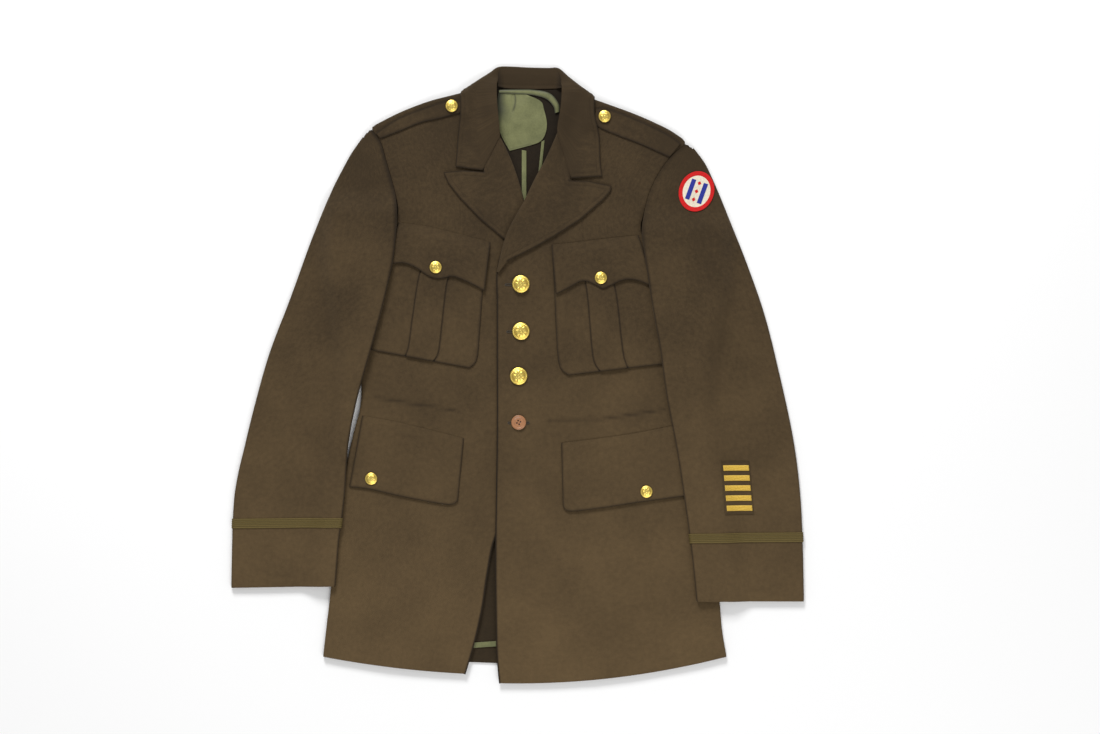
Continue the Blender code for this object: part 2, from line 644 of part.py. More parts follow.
# Neck seam, fold, where it turns under and a point it then heads for, then width, heights of fold and turn
COLLAR_ROWS = {
    "right": [
        (-22, 314, -23.6, 314, -110, 257.7, -110, 250, 70, 0.0, 13.4),
        (-24, 325, -24, 326, -90, 296, -90, 290, 61.7, 2.0, 13.4),
        (-26.2, 340, -25.5, 342, -95, 318, -95, 300, 55.5, 4.5, 13.4),
        (-28, 356, -27, 357, -98, 343, -98, 320, 49.5, 5.0, 13.4),
        (-29.7, 369, -27.7, 371, -84, 368, -90, 350, 48.5, 4.0, 13.4),
        (-30, 380.5, -27.5, 384, -54.6, 388.6, -56.3, 373, 48.5, 15.5, 13.2),
        (-21, 381, -25.5, 394, -38, 399.5, -33, 366, 49, 9.0, 9.0),
        (-13, 379.2, -20, 402, -23, 406, -20, 358, 50.5, 7.6, 7.4),
        (-4, 378.4, -8, 404, -9, 407.5, -8, 356, 51, 7.2, 7.2),
        (14, 378.3, 14, 403.5, 14, 407, 14, 355, 51, 7.2, 7.2),
    ],
    "left": [
        (50, 318, 51.8, 318.2, 140, 236, 140, 230, 81, 0.0, 13.4),
        (52.3, 328, 52, 329, 118, 280, 118, 275, 70, 2.0, 13.4),
        (55, 341, 54.5, 343, 118, 311, 118, 300, 58.5, 4.5, 13.4),
        (57.8, 355, 56.5, 357, 120, 335, 120, 320, 47.5, 5.0, 13.4),
        (60, 365, 57.3, 368, 110, 361, 118, 340, 44.0, 4.0, 13.4),
        (62, 374.5, 57.5, 380, 82, 382.5, 84, 367, 47.5, 15.5, 13.2),
        (53, 379.3, 56, 391, 66.5, 395, 62, 364, 48.5, 9.0, 9.0),
        (45, 378.8, 50.5, 400.5, 53, 404.5, 50, 358, 50.5, 7.6, 7.4),
        (34, 378.4, 38, 402.5, 39, 406, 38, 355, 51, 7.2, 7.2),
        (14, 378.3, 14, 403.5, 14, 407, 14, 355, 51, 7.2, 7.2),
    ],
}
COLLAR_GORGE = {  # front edge of the collar from its fold, by the notch, to its point
    "right": [(-23.6, 314), (-46.4, 271), (-82, 276)],
    "left": [(51.8, 318.2), (70, 261), (111, 263.5)],
}
RESTING_ROWS = 4.0  # rows of the table whose leaf lies on the front
LIP_STEPS = 2
LEAF_STEPS = 9
# Rows of the table that the leaf has, from either front to the centre back
COLLAR_STATIONS = [0, 0.5, 1, 2, 3, 4, 4.3, 4.6, 4.9, 5.2, 5.5, 5.8, 6.1, 6.5, 7, 8, 9]


STAND_LOW = [(-23.5, 383), (-10, 379.4), (14, 378.4), (38, 378.8), (54.5, 380)]
STAND_HIGH = [(-22.5, 390), (-17.5, 397.6), (-8, 400), (14, 400), (37, 399), (47.5, 396.4), (53.5, 387.5)]


def collar_stand():
    """The inside of the collar that shows above the back of the neck."""
    low, high = curve(STAND_LOW, 12), curve(STAND_HIGH, 12)

    def face(a, b):
        point = along(low, a / 12).lerp(along(high, a / 12), b / 3)
        return Vector((point.x, point.y, mix(COLLAR_LIFT + CLOTH + 0.7, 7.2, b / 3))), facing()

    return cloth("collar_stand", 12, 3, face, CLOTH)


def collar_leaf():
    def seam_base(side, x, y, station):
        share = min(1.0, 0.75 + station / 5.2 * 0.25)
        return front_top(side, x, y) + turned_edge(side, share) + 2 * SEAM

    def settled(side):
        """The rows with every fold's height measured from the floor."""
        rows = [list(row) for row in COLLAR_ROWS[side]]
        for station, row in enumerate(rows[:5]):
            row[9] += seam_base(side, row[0], row[1], station) + ROLL_OVER
        return rows

    table = settled("right")[:-1] + settled("left")[::-1]
    last = len(table) - 1
    stations = COLLAR_STATIONS + [last - place for place in reversed(COLLAR_STATIONS[:-1])]
    rows = len(stations) - 1

    def row_at(b):
        low = min(int(b), rows - 1)
        place = mix(stations[low], stations[low + 1], b - low)
        i = min(int(place), last - 1)
        t = place - i
        p0, p1, p2, p3 = table[max(i - 1, 0)], table[i], table[i + 1], table[min(i + 2, last)]
        row = [0.5 * (2 * q1 + (q2 - q0) * t + (2 * q0 - 5 * q1 + 4 * q2 - q3) * t**2
                      + (3 * q1 - q0 - 3 * q2 + q3) * t**3) for q0, q1, q2, q3 in zip(p0, p1, p2, p3)]
        return row, place

    def face(a, b):
        row, place = row_at(b)
        nx, ny, fx, fy, sx, sy, ux, uy, width, fold_height, turn_height = row
        side = "right" if place < last / 2 else "left"
        way = WAY[side]
        station = min(place, last - place)  # 0 at either front end, 9 at the centre back
        fold, turn_at, heads = Vector((fx, fy)), Vector((sx, sy)), Vector((ux, uy))
        on_front = 1 - smooth((station - RESTING_ROWS) / 1.0)
        base = seam_base(side, nx, ny, station)
        crest = fold_height
        radius = turn_height / 2
        to_fold = turn_at - fold
        distance = to_fold.length
        ahead = to_fold / distance
        under = (heads - turn_at).normalized()
        if a <= LIP_STEPS:
            drop = mix(90, 0, smooth((station - 5) / 1.8))
            tall = mix(crest - base, 3.0, smooth((station - 4.4) / 1.6))
            length = tall - min(tall, a * max(CLOTH + 0.3, tall / 2)) if a < LIP_STEPS else 0.0
            inward = Vector((-way, 0.35)).lerp(-ahead, smooth(station / 2)).normalized()
            point = fold + inward * length * math.cos(math.radians(drop))
            down = length * math.sin(math.radians(drop))
            lean = math.radians(drop) * (0.98 if a < LIP_STEPS else 0.5)
            return Vector((point.x, point.y, crest - down)), facing((inward, lean))
        level = distance - radius
        notch = NOTCH_SHARE["collar_" + side] * width
        marks = [0, min(level, notch), min(level + math.pi * radius, 0.94 * width), width]
        step = (a - LIP_STEPS) / LEAF_STEPS * 3
        part = min(int(step), 2)
        travelled = mix(marks[part], marks[part + 1], step - part)
        if travelled <= level:
            point = fold + ahead * travelled
            if station < 3:
                gorge = [Vector(p) for p in COLLAR_GORGE[side]]
                across = travelled / width
                bow = path(gorge, across) - gorge[0].lerp(gorge[-1], across)
                point += bow * max(0.0, 1 - station / 3) ** 1.6
            lies = front_top(side, point.x, point.y) + LAPEL_REST + CLOTH + loop_end(side, point.x, point.y)
            excess = crest - (front_top(side, fold.x, fold.y) + LAPEL_REST + CLOTH)
            resting = lies + excess * fallen_back(travelled)
            turning = mix(crest, turn_height, smooth(travelled / max(level, 1)))
            return Vector((point.x, point.y, mix(turning, resting, on_front))), facing()
        beyond = travelled - level
        if beyond < math.pi * radius:
            angle = beyond / radius
            if angle < math.pi / 2:
                point, way_out = fold + ahead * (level + radius * math.sin(angle)), ahead
            else:
                point, way_out = turn_at + under * radius * (1 - math.sin(angle)), -under
            looks = Vector((way_out.x * math.sin(angle), way_out.y * math.sin(angle), math.cos(angle)))
            return Vector((point.x, point.y, turn_height - radius * (1 - math.cos(angle)))), looks
        point = turn_at + under * (radius + beyond - math.pi * radius)
        return Vector((point.x, point.y, 0.0)), Vector((0, 0, -1))

    return cloth("collar_leaf", LIP_STEPS + LEAF_STEPS, rows, face, CLOTH)


def loop_end(side, x, y):
    """Where the collar lies over the end of a shoulder loop."""
    into = (-64 - x) if side == "right" else (x - 90)
    low = 334 if side == "right" else 318
    return (CLOTH + REST) * smooth((into + 8) / 10) * smooth((y - low) / 12)


# Pieces laid on the panels

THIN = 0.8  # lining and tape
BRAID_THICK = 1.0
PLEAT = 1.6  # how far a pocket's box pleat stands out


def laid(name, first, last, columns, rows, height, thickness, finish=WOOL):
    """A sheet between two edges, with height(x, y, u, v) as its top.

    columns and rows are counts, or lists of shares.
    """
    across = [i / columns for i in range(columns + 1)] if isinstance(columns, int) else columns
    down = [i / rows for i in range(rows + 1)] if isinstance(rows, int) else rows
    first, last = curve(first, 36), curve(last, 36)

    def face(a, b):
        point = along(first, across[a]).lerp(along(last, across[a]), down[b])
        return Vector((point.x, point.y, height(point.x, point.y, across[a], down[b]))), facing()

    return cloth(name, len(across) - 1, len(down) - 1, face, thickness, finish)


def rest_on(side):
    return REST + (0.55 if side == "left" else 0.0)


POCKET_ROWS = {  # left and right ends of rows from the top of the pocket to its rounded foot
    "right": ([(-158, 182), (-175, 140), (-186, 85), (-192, 45), (-193, 34)],
              [(-38, 158), (-46, 112), (-50, 61), (-54, 22), (-64, 10.5)]),
    "left": ([(45, 155), (48, 107), (50, 61), (54, 15), (66, 1)],
             [(160, 168), (181, 115), (190, 60), (195, 26), (195, 16)]),
}
PLEAT_LINES = {"right": (0.352, 0.628), "left": (0.332, 0.604)}  # shares of the width


def breast_pocket(side):
    low, high = PLEAT_LINES[side]
    shares = [0, low * 0.4, low * 0.8, low - 0.012, low + 0.012, (low + high) / 2, high - 0.012, high + 0.012,
              mix(high, 1, 0.35), mix(high, 1, 0.7), 1]
    lefts, rights = POCKET_ROWS[side]

    def height(x, y, v, u):
        pleat = PLEAT if low < u < high else 0
        return front_top(side, x, y) + rest_on(side) + CLOTH + pleat

    return laid("breast_pocket_" + side, lefts, rights, 10, shares, height, CLOTH)


FLAP_EDGES = {  # top and scalloped foot of the breast flaps
    "right": ([(-157.5, 202), (-124, 198), (-77, 187), (-36, 176)],
              [(-174, 143), (-162, 148), (-148, 148), (-132, 141), (-119, 132), (-107, 128), (-96, 129),
               (-87, 131), (-74, 127), (-57, 119), (-44, 112)]),
    "left": ([(44, 173), (75, 176), (108, 180), (135, 183), (159, 185.5)],
             [(50, 107), (69, 117), (82, 124), (92, 124), (103, 119), (112, 115), (124, 120), (135, 125),
              (148, 127), (162, 124), (179, 116)]),
}


def breast_flap_top(side, x, y, down=1.0):
    return front_top(side, x, y) + rest_on(side) + CLOTH + (CLOTH + REST + PLEAT) * smooth(down / 0.3)


def breast_flap(side):
    top, foot = FLAP_EDGES[side]
    return laid("breast_flap_" + side, top, foot, 12, [0, 0.1, 0.2, 0.3, 0.65, 1],
                lambda x, y, u, v: breast_flap_top(side, x, y, v), CLOTH)


HIP_EDGES = {
    "right": ([(-205, -52), (-156, -61), (-103, -74), (-71, -82)],
              [(-222, -146), (-195, -149), (-156, -158), (-103, -168), (-86, -169), (-79, -164)]),
    "left": ([(57, -88), (108, -82), (161, -74), (216, -63)],
             [(59, -171), (68, -178), (108, -174), (161, -166), (228, -157)]),
}


def hip_flap_top(side, x, y):
    return front_top(side, x, y) + rest_on(side) + CLOTH


def hip_flap(side):
    top, foot = HIP_EDGES[side]
    return laid("hip_flap_" + side, top, foot, 12, 4, lambda x, y, u, v: hip_flap_top(side, x, y), CLOTH)


LOOP_EDGES = {  # from the sleeve seam to under the collar
    "right": ([(-184, 322), (-156, 340), (-116, 355), (-86, 364), (-74, 360)],
              [(-178, 315), (-156, 322), (-129, 333), (-103, 339), (-72, 347)]),
    "left": ([(211, 308), (198, 317.5), (160, 336), (118, 352), (103, 352)],
             [(196, 290), (161, 305), (135, 315), (108, 326.5), (100, 335)]),
}


def loop_top(side, x, y):
    return front_top(side, x, y) + REST + CLOTH


def shoulder_loop(side):
    upper, lower = LOOP_EDGES[side]
    return laid("shoulder_loop_" + side, upper, lower, 10, 2, lambda x, y, u, v: loop_top(side, x, y), CLOTH)


BRAID_ROWS = {"right": (2.5, 2.91), "left": (2.52, 2.93)}  # on the rows of the sleeve


def cuff_braid(side):
    sleeve, columns, rows = sleeve_top_face(side)

    def face(a, b):
        point, looks = sleeve(a, mix(*BRAID_ROWS[side], b))
        return point + looks * (REST + BRAID_THICK), looks

    return cloth("cuff_braid_" + side, columns, 1, face, BRAID_THICK, BRAID)


def surface_of(face, columns, rows):
    """The height of a laid panel's own facets at any x and y."""
    grid = [[face(a, b)[0] for b in range(rows + 1)] for a in range(columns + 1)]

    def height(x, y):
        best = 0.0
        for a in range(columns):
            for b in range(rows):
                p, q, r, s = grid[a][b], grid[a + 1][b], grid[a + 1][b + 1], grid[a][b + 1]
                if not (min(p.x, q.x, r.x, s.x) - 1 <= x <= max(p.x, q.x, r.x, s.x) + 1):
                    continue
                for i, j, k in ((p, q, r), (p, r, s), (p, q, s), (q, r, s)):
                    area = (j.x - i.x) * (k.y - i.y) - (k.x - i.x) * (j.y - i.y)
                    if abs(area) < 1e-6:
                        continue
                    u = ((x - i.x) * (k.y - i.y) - (k.x - i.x) * (y - i.y)) / area
                    v = ((j.x - i.x) * (y - i.y) - (x - i.x) * (j.y - i.y)) / area
                    if u >= 0 and v >= 0 and u + v <= 1:
                        best = max(best, i.z + u * (j.z - i.z) + v * (k.z - i.z))
        return best

    return height


left_sleeve_surface = surface_of(*sleeve_top_face("left"))


def slab(name, corners, height, thickness, finish, counts=(3, 3)):
    """A flat piece with four corners: two along its head, then two along its foot."""
    return laid(name, corners[:2], corners[2:], counts[0], counts[1],
                lambda x, y, u, v: height(x, y), thickness, finish)


def service_bars():
    slab("service_bar_backing", [(267, -112), (305, -112), (272, -182), (311, -182)],
         lambda x, y: left_sleeve_surface(x, y) + REST + 1.3, 1.0, WOOL, (3, 4))
    for number in range(5):
        x, y = 269.6 + number * 1.1, -118 - number * 13.2
        slab(f"service_bar_{number + 1}", [(x, y), (x + 34, y), (x + 0.6, y - 6), (x + 34.6, y - 6)],
             lambda x, y: left_sleeve_surface(x, y) + REST + 1.3 + SEAM + 1.2, 1.0, GOLD_THREAD, (3, 1))


PATCH_CENTRE = (235, 243)
PATCH_SIZE = (46, 54)


def sleeve_patch():
    turn = Matrix.Rotation(math.radians(-20), 2)

    def face(a, b):
        u, v = a / 3 - 1, b / 3 - 1
        disc = Vector((u * math.sqrt(1 - v * v / 2) * PATCH_SIZE[0] / 2,
                       v * math.sqrt(1 - u * u / 2) * PATCH_SIZE[1] / 2))
        point = Vector(PATCH_CENTRE) + turn @ disc
        return Vector((point.x, point.y, left_sleeve_surface(point.x, point.y) + REST + 1.2)), facing()

    return cloth("sleeve_patch", 6, 6, face, 1.0, PATCH_RED)


def inside_top(x, y, layers=1):
    """Top of linings and tapes on the inner face of the back."""
    return lift(x, y) + CLOTH + layers * (THIN + 0.55)


def linings():
    laid("neck_lining", [(-12, 294), (-24, 322), (-28, 350), (-28, 374.5)],
         [(22, 303), (37, 318), (39, 345), (38, 374.5)],
         8, 5, lambda x, y, u, v: inside_top(x, y), THIN, LINING)
    laid("neck_band", [(-12, 374), (10, 374.5), (30, 373), (46, 367), (52, 356)],
         [(-12, 367), (10, 367.5), (28, 366), (40, 361), (45, 353)],
         12, 1, lambda x, y, u, v: inside_top(x, y, 2), THIN, LINING)
    slab("seam_tape_right", [(5, 296), (11, 295), (5, 226), (11, 226)], inside_top, THIN, LINING, (1, 4))
    slab("seam_tape_left", [(30, 304), (34.5, 306), (27, 270), (31, 270)], inside_top, THIN, LINING, (1, 2))
    slab("hem_tape", [(-66, -352), (8, -347), (-66, -359), (8, -354)], inside_top, THIN, LINING, (6, 1))


def button(name, x, y, height, size, profile, finish, segments=16):
    """A turned button from rings: share of the radius, then height."""
    bm = bmesh.new()
    below = None
    for share, z in profile:
        if share == 0:
            bmesh.ops.contextual_create(bm, geom=below)
            break
        ring = bmesh.ops.create_circle(bm, segments=segments, radius=share * size / 2, cap_ends=below is None)
        bmesh.ops.translate(bm, vec=(x, y, height + 0.5 + z), verts=ring["verts"])
        edges = [edge for edge in bm.edges if all(vert in ring["verts"] for vert in edge.verts)]
        if below:
            bmesh.ops.bridge_loops(bm, edges=below + edges)
        below = edges
    bmesh.ops.recalc_face_normals(bm, faces=bm.faces)
    return add_object(name, bm, finish)


DOME = [(0.72, 0), (0.95, 0.7), (1, 1.4), (0.93, 2.3), (0.66, 3.5), (0.32, 4.3), (0, 0)]
DISC = [(0.8, 0), (1, 0.9), (1, 2.1), (0.88, 2.8), (0.74, 2.2), (0, 0)]


def buttons():
    for number, (x, y, room) in enumerate([(4, 121, 1.3), (4, 59, 0.2), (1, 0, 0.2)]):
        button(f"front_button_{number + 1}", x, y, front_top("left", x, y) + room, BIG_BUTTON, DOME, BRASS)
    button("waist_button", 1, -61, front_top("left", 1, -61), WAIST_BUTTON, DISC, HORN)
    for side, spots in SMALL_BUTTONS.items():
        (bx, by), (hx, hy), (sx, sy) = spots
        button("breast_button_" + side, bx, by, breast_flap_top(side, bx, by), SMALL_BUTTON, DOME, BRASS, 12)
        button("hip_button_" + side, hx, hy, hip_flap_top(side, hx, hy), SMALL_BUTTON, DOME, BRASS, 12)
        button("shoulder_button_" + side, sx, sy, loop_top(side, sx, sy), SMALL_BUTTON, DOME, BRASS, 12)


SMALL_BUTTONS = {  # breast flap, hip flap and shoulder loop
    "right": [(-108, 143), (-193, -135), (-87, 355)],
    "left": [(109, 129), (169, -152), (114, 341.5)],
}

for wearer_side in ("right", "left"):
    back(wearer_side)
    front(wearer_side)
    lapel(wearer_side)
    sleeve_top(wearer_side)
    sleeve_under(wearer_side)
    breast_pocket(wearer_side)
    breast_flap(wearer_side)
    hip_flap(wearer_side)
    shoulder_loop(wearer_side)
    cuff_braid(wearer_side)
collar_leaf()
collar_stand()
linings()
service_bars()
sleeve_patch()
buttons()
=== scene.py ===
# Officer's service coat, buttoned and laid flat on its back. Lengths are millimetres until a mesh is made.
# +X is the wearer's left, +Y runs from hem to collar, +Z is up. Right and left are the wearer's.
import math
from functools import lru_cache

import bmesh
import bpy
from mathutils import Matrix, Vector, kdtree, noise


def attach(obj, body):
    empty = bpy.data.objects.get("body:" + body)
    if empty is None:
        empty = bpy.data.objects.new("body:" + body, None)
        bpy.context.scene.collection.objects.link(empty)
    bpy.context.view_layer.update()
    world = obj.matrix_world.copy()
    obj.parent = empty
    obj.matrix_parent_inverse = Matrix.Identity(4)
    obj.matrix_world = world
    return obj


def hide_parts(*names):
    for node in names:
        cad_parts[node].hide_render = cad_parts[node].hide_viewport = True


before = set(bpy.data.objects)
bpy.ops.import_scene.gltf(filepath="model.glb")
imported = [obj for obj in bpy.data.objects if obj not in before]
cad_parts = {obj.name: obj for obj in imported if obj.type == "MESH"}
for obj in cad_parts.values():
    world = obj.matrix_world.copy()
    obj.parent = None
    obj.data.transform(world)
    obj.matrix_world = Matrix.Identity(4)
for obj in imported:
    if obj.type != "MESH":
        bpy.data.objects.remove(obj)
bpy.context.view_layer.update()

metre = 0.001
middle = Vector((0.5, -1.0, 0))  # brings the middle of the footprint to the origin

coat = {
    "cloth": 2.0,  # back, sleeves, lapels and collar
    "front": 2.4,  # fronts, with their canvas
    "hollow": 3.0,  # room between the back and the fronts, and inside a sleeve
    "seam": 0.3,  # gap at a seam
    "rest": 0.45,  # gap under a piece that lies on another
    "lapelRest": 1.3,  # the same under a lapel or the collar
    "pad": 1.0,  # extra height at the shoulder pads
    "collarLift": 2.9,  # how far the turned-down collar lifts the back at the neck
    "foldTurn": math.radians(85),
    "seamTurn": math.radians(14),
    "foldSteps": 3,
}
bodyHigh = coat["cloth"] + coat["hollow"] + coat["front"]
sleeveHigh = 2 * coat["cloth"] + coat["hollow"]

outline = {  # plan outlines, x and y, each from the hem or cuff upwards
    "side": {
        "right": [(-257, -370), (-253, -335), (-245, -265), (-235, -164), (-219, -84), (-207, -32),
                  (-211, 34), (-228, 133)],
        "left": [(275, -370), (269, -335), (263, -265), (252, -177), (236, -98), (226, -45), (230, 21),
                 (249, 120)],
    },
    "armHidden": {  # front armhole, under the sleeve
        "right": [(-228, 133), (-188, 146), (-166, 175), (-158, 213)],
        "left": [(249, 120), (208, 132), (174, 158), (162, 190)],
    },
    "armSeam": {  # the seam that shows, up to the shoulder tip
        "right": [(-158, 213), (-161, 239), (-172, 279), (-182, 312), (-192, 328)],
        "left": [(162, 190), (166, 216), (176, 250), (194, 280), (220, 309)],
    },
    "armBack": {
        "right": [(-228, 133), (-199, 180), (-189, 232), (-187, 285), (-192, 328)],
        "left": [(249, 120), (226, 155), (212, 213), (212, 265), (220, 309)],
    },
    "shoulder": {  # from the tip to the neck
        "right": [(-192, 328), (-156, 346), (-116, 361), (-78, 371), (-32, 384)],
        "left": [(220, 309), (200, 322), (160, 341), (118, 357), (64, 377)],
    },
    "frontEdge": {  # from the hem to the break of the lapel
        "right": [(-69, -393), (-56, -348), (-46, -302), (-33, -223), (-12, -177), (14, -124), (32, -61),
                  (33, 34), (33, 133)],
        "left": [(-25, -405), (-28, -375), (-30, -243), (-28, -84), (-28, 34), (-28, 137)],
    },
    "roll": {  # fold of the lapel from the break to the gorge seam
        "right": [(33, 133), (8, 232), (-4, 272), (-14, 296), (-22, 312)],
        "left": [(-28, 137), (-15, 186), (9, 232), (25, 265), (36, 285), (50, 316)],
    },
    "neckSide": {  # neckline from the gorge to the shoulder
        "right": [(-22, 312), (-26, 338), (-28.5, 360), (-32, 384)],
        "left": [(50, 316), (54.5, 338), (58, 358), (64, 377)],
    },
}
hemBow = {"right": -3.0, "left": -10.0}
way = {"right": -1, "left": 1}  # the direction in x from the middle of the coat to each side
bodyRows = {"right": 12, "left": 14}  # rows of the outline's tables from the hem to the underarm
hiddenRows, seamRows = 3, 5


# Sums

def smooth(value):
    value = min(1.0, max(0.0, value))
    return value * value * (3 - 2 * value)


def mix(a, b, share):
    return a + (b - a) * share


def bend(before, start, end, after, t):
    return 0.5 * (2 * start + (end - before) * t + (2 * before - 5 * start + 4 * end - after) * t**2
                  + (3 * start - before - 3 * end + after) * t**3)


def curve(points, count):
    # count + 1 points spread evenly along a smooth curve through the points
    points = [Vector(p) for p in points]
    fine = []
    for i in range(len(points) - 1):
        for step in range(12):
            fine.append(bend(points[max(i - 1, 0)], points[i], points[i + 1],
                             points[min(i + 2, len(points) - 1)], step / 12))
    fine.append(points[-1])
    lengths = [0.0]
    for a, b in zip(fine, fine[1:]):
        lengths.append(lengths[-1] + (b - a).length)
    spread, span = [], 0
    for i in range(count + 1):
        goal = lengths[-1] * i / count
        while span < len(fine) - 2 and lengths[span + 1] < goal:
            span += 1
        share = (goal - lengths[span]) / (lengths[span + 1] - lengths[span])
        spread.append(fine[span].lerp(fine[span + 1], share))
    return spread


def along(points, share):
    # the point at a share, 0 to 1, of a list of evenly counted points, on a smooth curve through them
    place = min(1.0, max(0.0, share)) * (len(points) - 1)
    first = min(int(place), len(points) - 2)
    return bend(points[max(first - 1, 0)], points[first], points[first + 1],
                points[min(first + 2, len(points) - 1)], place - first)


def lookup(table, value, smoothly=False):
    # a table's second column where its first column has the value
    if value <= table[0][0]:
        return table[0][1]
    for (low, first), (high, second) in zip(table, table[1:]):
        if value <= high:
            share = (value - low) / (high - low)
            return mix(first, second, smooth(share) if smoothly else share)
    return table[-1][1]


def curl(share, length, turn):
    # how far cloth has reached, and fallen, after a share of a bend of this length and angle
    if turn < 1e-4:
        return length * share, 0.0
    radius = length / turn
    return radius * math.sin(turn * share), radius * (1 - math.cos(turn * share))


def outward(points, share, toward):
    ahead = along(points, share + 0.02) - along(points, share - 0.02)
    across = Vector((ahead.y, -ahead.x)).normalized()
    return across if across.x * toward > 0 else -across


def facing(*leans):
    # a unit vector that looks up, leant over by an angle in each of some plan directions
    total, up = Vector((0, 0)), 1.0
    for direction, angle in leans:
        total += direction * math.sin(angle)
        up *= math.cos(angle)
    return Vector((total.x, total.y, up)).normalized()


def path(points, share):
    # the point at a share of the length of a line with sharp corners
    points = [Vector(p) for p in points]
    lengths = [0.0]
    for a, b in zip(points, points[1:]):
        lengths.append(lengths[-1] + (b - a).length)
    goal = share * lengths[-1]
    for i in range(len(points) - 1):
        if goal <= lengths[i + 1] or i == len(points) - 2:
            return points[i].lerp(points[i + 1], (goal - lengths[i]) / (lengths[i + 1] - lengths[i]))


def lines(length, spacing, start=(), end=()):
    # shares of a length: evenly spaced, with more lines at given distances from either end
    places = {0.0, 1.0} | {d / length for d in start} | {1 - d / length for d in end}
    low = max([d / length for d in start] + [0.0])
    high = min([1 - d / length for d in end] + [1.0])
    count = max(1, round((high - low) * length / spacing))
    places |= {mix(low, high, i / count) for i in range(count + 1)}
    kept = []
    for place in sorted(places):
        if not kept or place - kept[-1] > 0.25 / length:
            kept.append(place)
    kept[-1] = 1.0
    return kept


hemLines = (0.9, 2.2, 4, 5.4, 6.2, 7.0, 8.4)  # distances from an edge that is sewn 6 mm in
cuffLines = hemLines[:3]  # the same from an edge without stitching
foldLines = [-1, -0.8, -0.6, -0.4, -0.2]  # over a piece's first fold
farFoldLines = [1.2, 1.4, 1.6, 1.8, 2]  # over its other fold
topLines = (0.5, 1, 1.5, 2, 2.5, 3)  # over the fold of the shoulder


# Materials

class Wire:
    # one socket of a material's nodes; sums on it add Math nodes
    def __init__(self, tree, socket=None):
        self.tree, self.socket = tree, socket

    def node(self, kind, settings=None, values=None, out=0):
        made = self.tree.nodes.new(kind)
        for name, value in (settings or {}).items():
            if name == "stops":
                while len(made.color_ramp.elements) < len(value):
                    made.color_ramp.elements.new(0.5)
                for stop, (place, colour) in zip(made.color_ramp.elements, value):
                    stop.position, stop.color = place, (*colour, 1)
            else:
                setattr(made, name, value)
        for name, value in (values or {}).items():
            if isinstance(value, Wire):
                self.tree.links.new(value.socket, made.inputs[name])
            else:
                made.inputs[name].default_value = value
        return Wire(self.tree, made.outputs[out])

    def sum(self, operation, *values, clamp=False):
        settings = {"operation": operation, "use_clamp": clamp}
        return self.node("ShaderNodeMath", settings, dict(enumerate(values)))

    def __add__(self, other):
        return self.sum("ADD", self, other)

    def __sub__(self, other):
        return self.sum("SUBTRACT", self, other)

    def __rsub__(self, other):
        return self.sum("SUBTRACT", other, self)

    def __mul__(self, other):
        return self.sum("MULTIPLY", self, other)

    def __truediv__(self, other):
        return self.sum("DIVIDE", self, other)

    def __lt__(self, other):
        return self.sum("LESS_THAN", self, other)

    def __gt__(self, other):
        return self.sum("GREATER_THAN", self, other)

    __radd__, __rmul__ = __add__, __mul__

    def sine(self):
        return self.sum("SINE", self)

    def size(self):
        return self.sum("ABSOLUTE", self)

    def held(self):
        # kept between 0 and 1
        return self.sum("MULTIPLY", self, 1.0, clamp=True)

    def blend(self, a, b):
        # a where this is 0 and b where it is 1
        return self.node("ShaderNodeMix", {"data_type": "RGBA"}, {0: self, 6: a, 7: b}, out=2)

    def dyed(self, low, high):
        return self.blend((*low, 1), (*high, 1))

    def part(self, index):
        return self.node("ShaderNodeSeparateXYZ", {}, {0: self}, out=index)

    def mark(self, name):
        return self.node("ShaderNodeAttribute", {"attribute_name": name}, out=2)

    def cloud(self, scale, detail=2.0, roughness=0.5, twist=0.0):
        # noise over the places that this wire carries
        return self.node("ShaderNodeTexNoise", {}, {"Vector": self, "Scale": scale, "Detail": detail,
                                                    "Roughness": roughness, "Distortion": twist})


def material(name, roughness, metallic=0.0, **fixed):
    made = bpy.data.materials.new(name)
    made.use_nodes = True
    shader = made.node_tree.nodes["Principled BSDF"]
    shader.inputs["Roughness"].default_value = roughness
    shader.inputs["Metallic"].default_value = metallic
    for socket, value in fixed.items():
        shader.inputs[socket.replace("_", " ")].default_value = value
    return made, Wire(made.node_tree), shader


def join(nodes, shader, colour=None, roughness=None, height=None, strength=0.5, distance=0.0002):
    if colour:
        nodes.tree.links.new(colour.socket, shader.inputs["Base Color"])
    if roughness:
        nodes.tree.links.new(roughness.socket, shader.inputs["Roughness"])
    if height:
        bump = nodes.node("ShaderNodeBump", {}, {"Strength": strength, "Distance": distance,
                                                 "Height": height})
        nodes.tree.links.new(bump.socket, shader.inputs["Normal"])


def clothCoords(nodes):
    # the cloth's own millimetres, across and lengthways, and its place on the object
    weave = nodes.node("ShaderNodeUVMap", {"uv_map": "weave"})
    return weave, weave.part(0), weave.part(1), nodes.node("ShaderNodeTexCoord", out=3)


woolLook = {
    "dark": (0.034, 0.0214, 0.0092),
    "light": (0.118, 0.0763, 0.0340),
    # colour of the painted shade that the vertex attribute named edge blends in
    "edge": (0.010, 0.0060, 0.0028),
    "fade": 1.035,  # painted light and shade: lighter by this share for each metre towards the hem, darker towards the collar
    "ribPitch": 0.62,  # of the twill, square to its ribs
    "bump": 0.35,
}


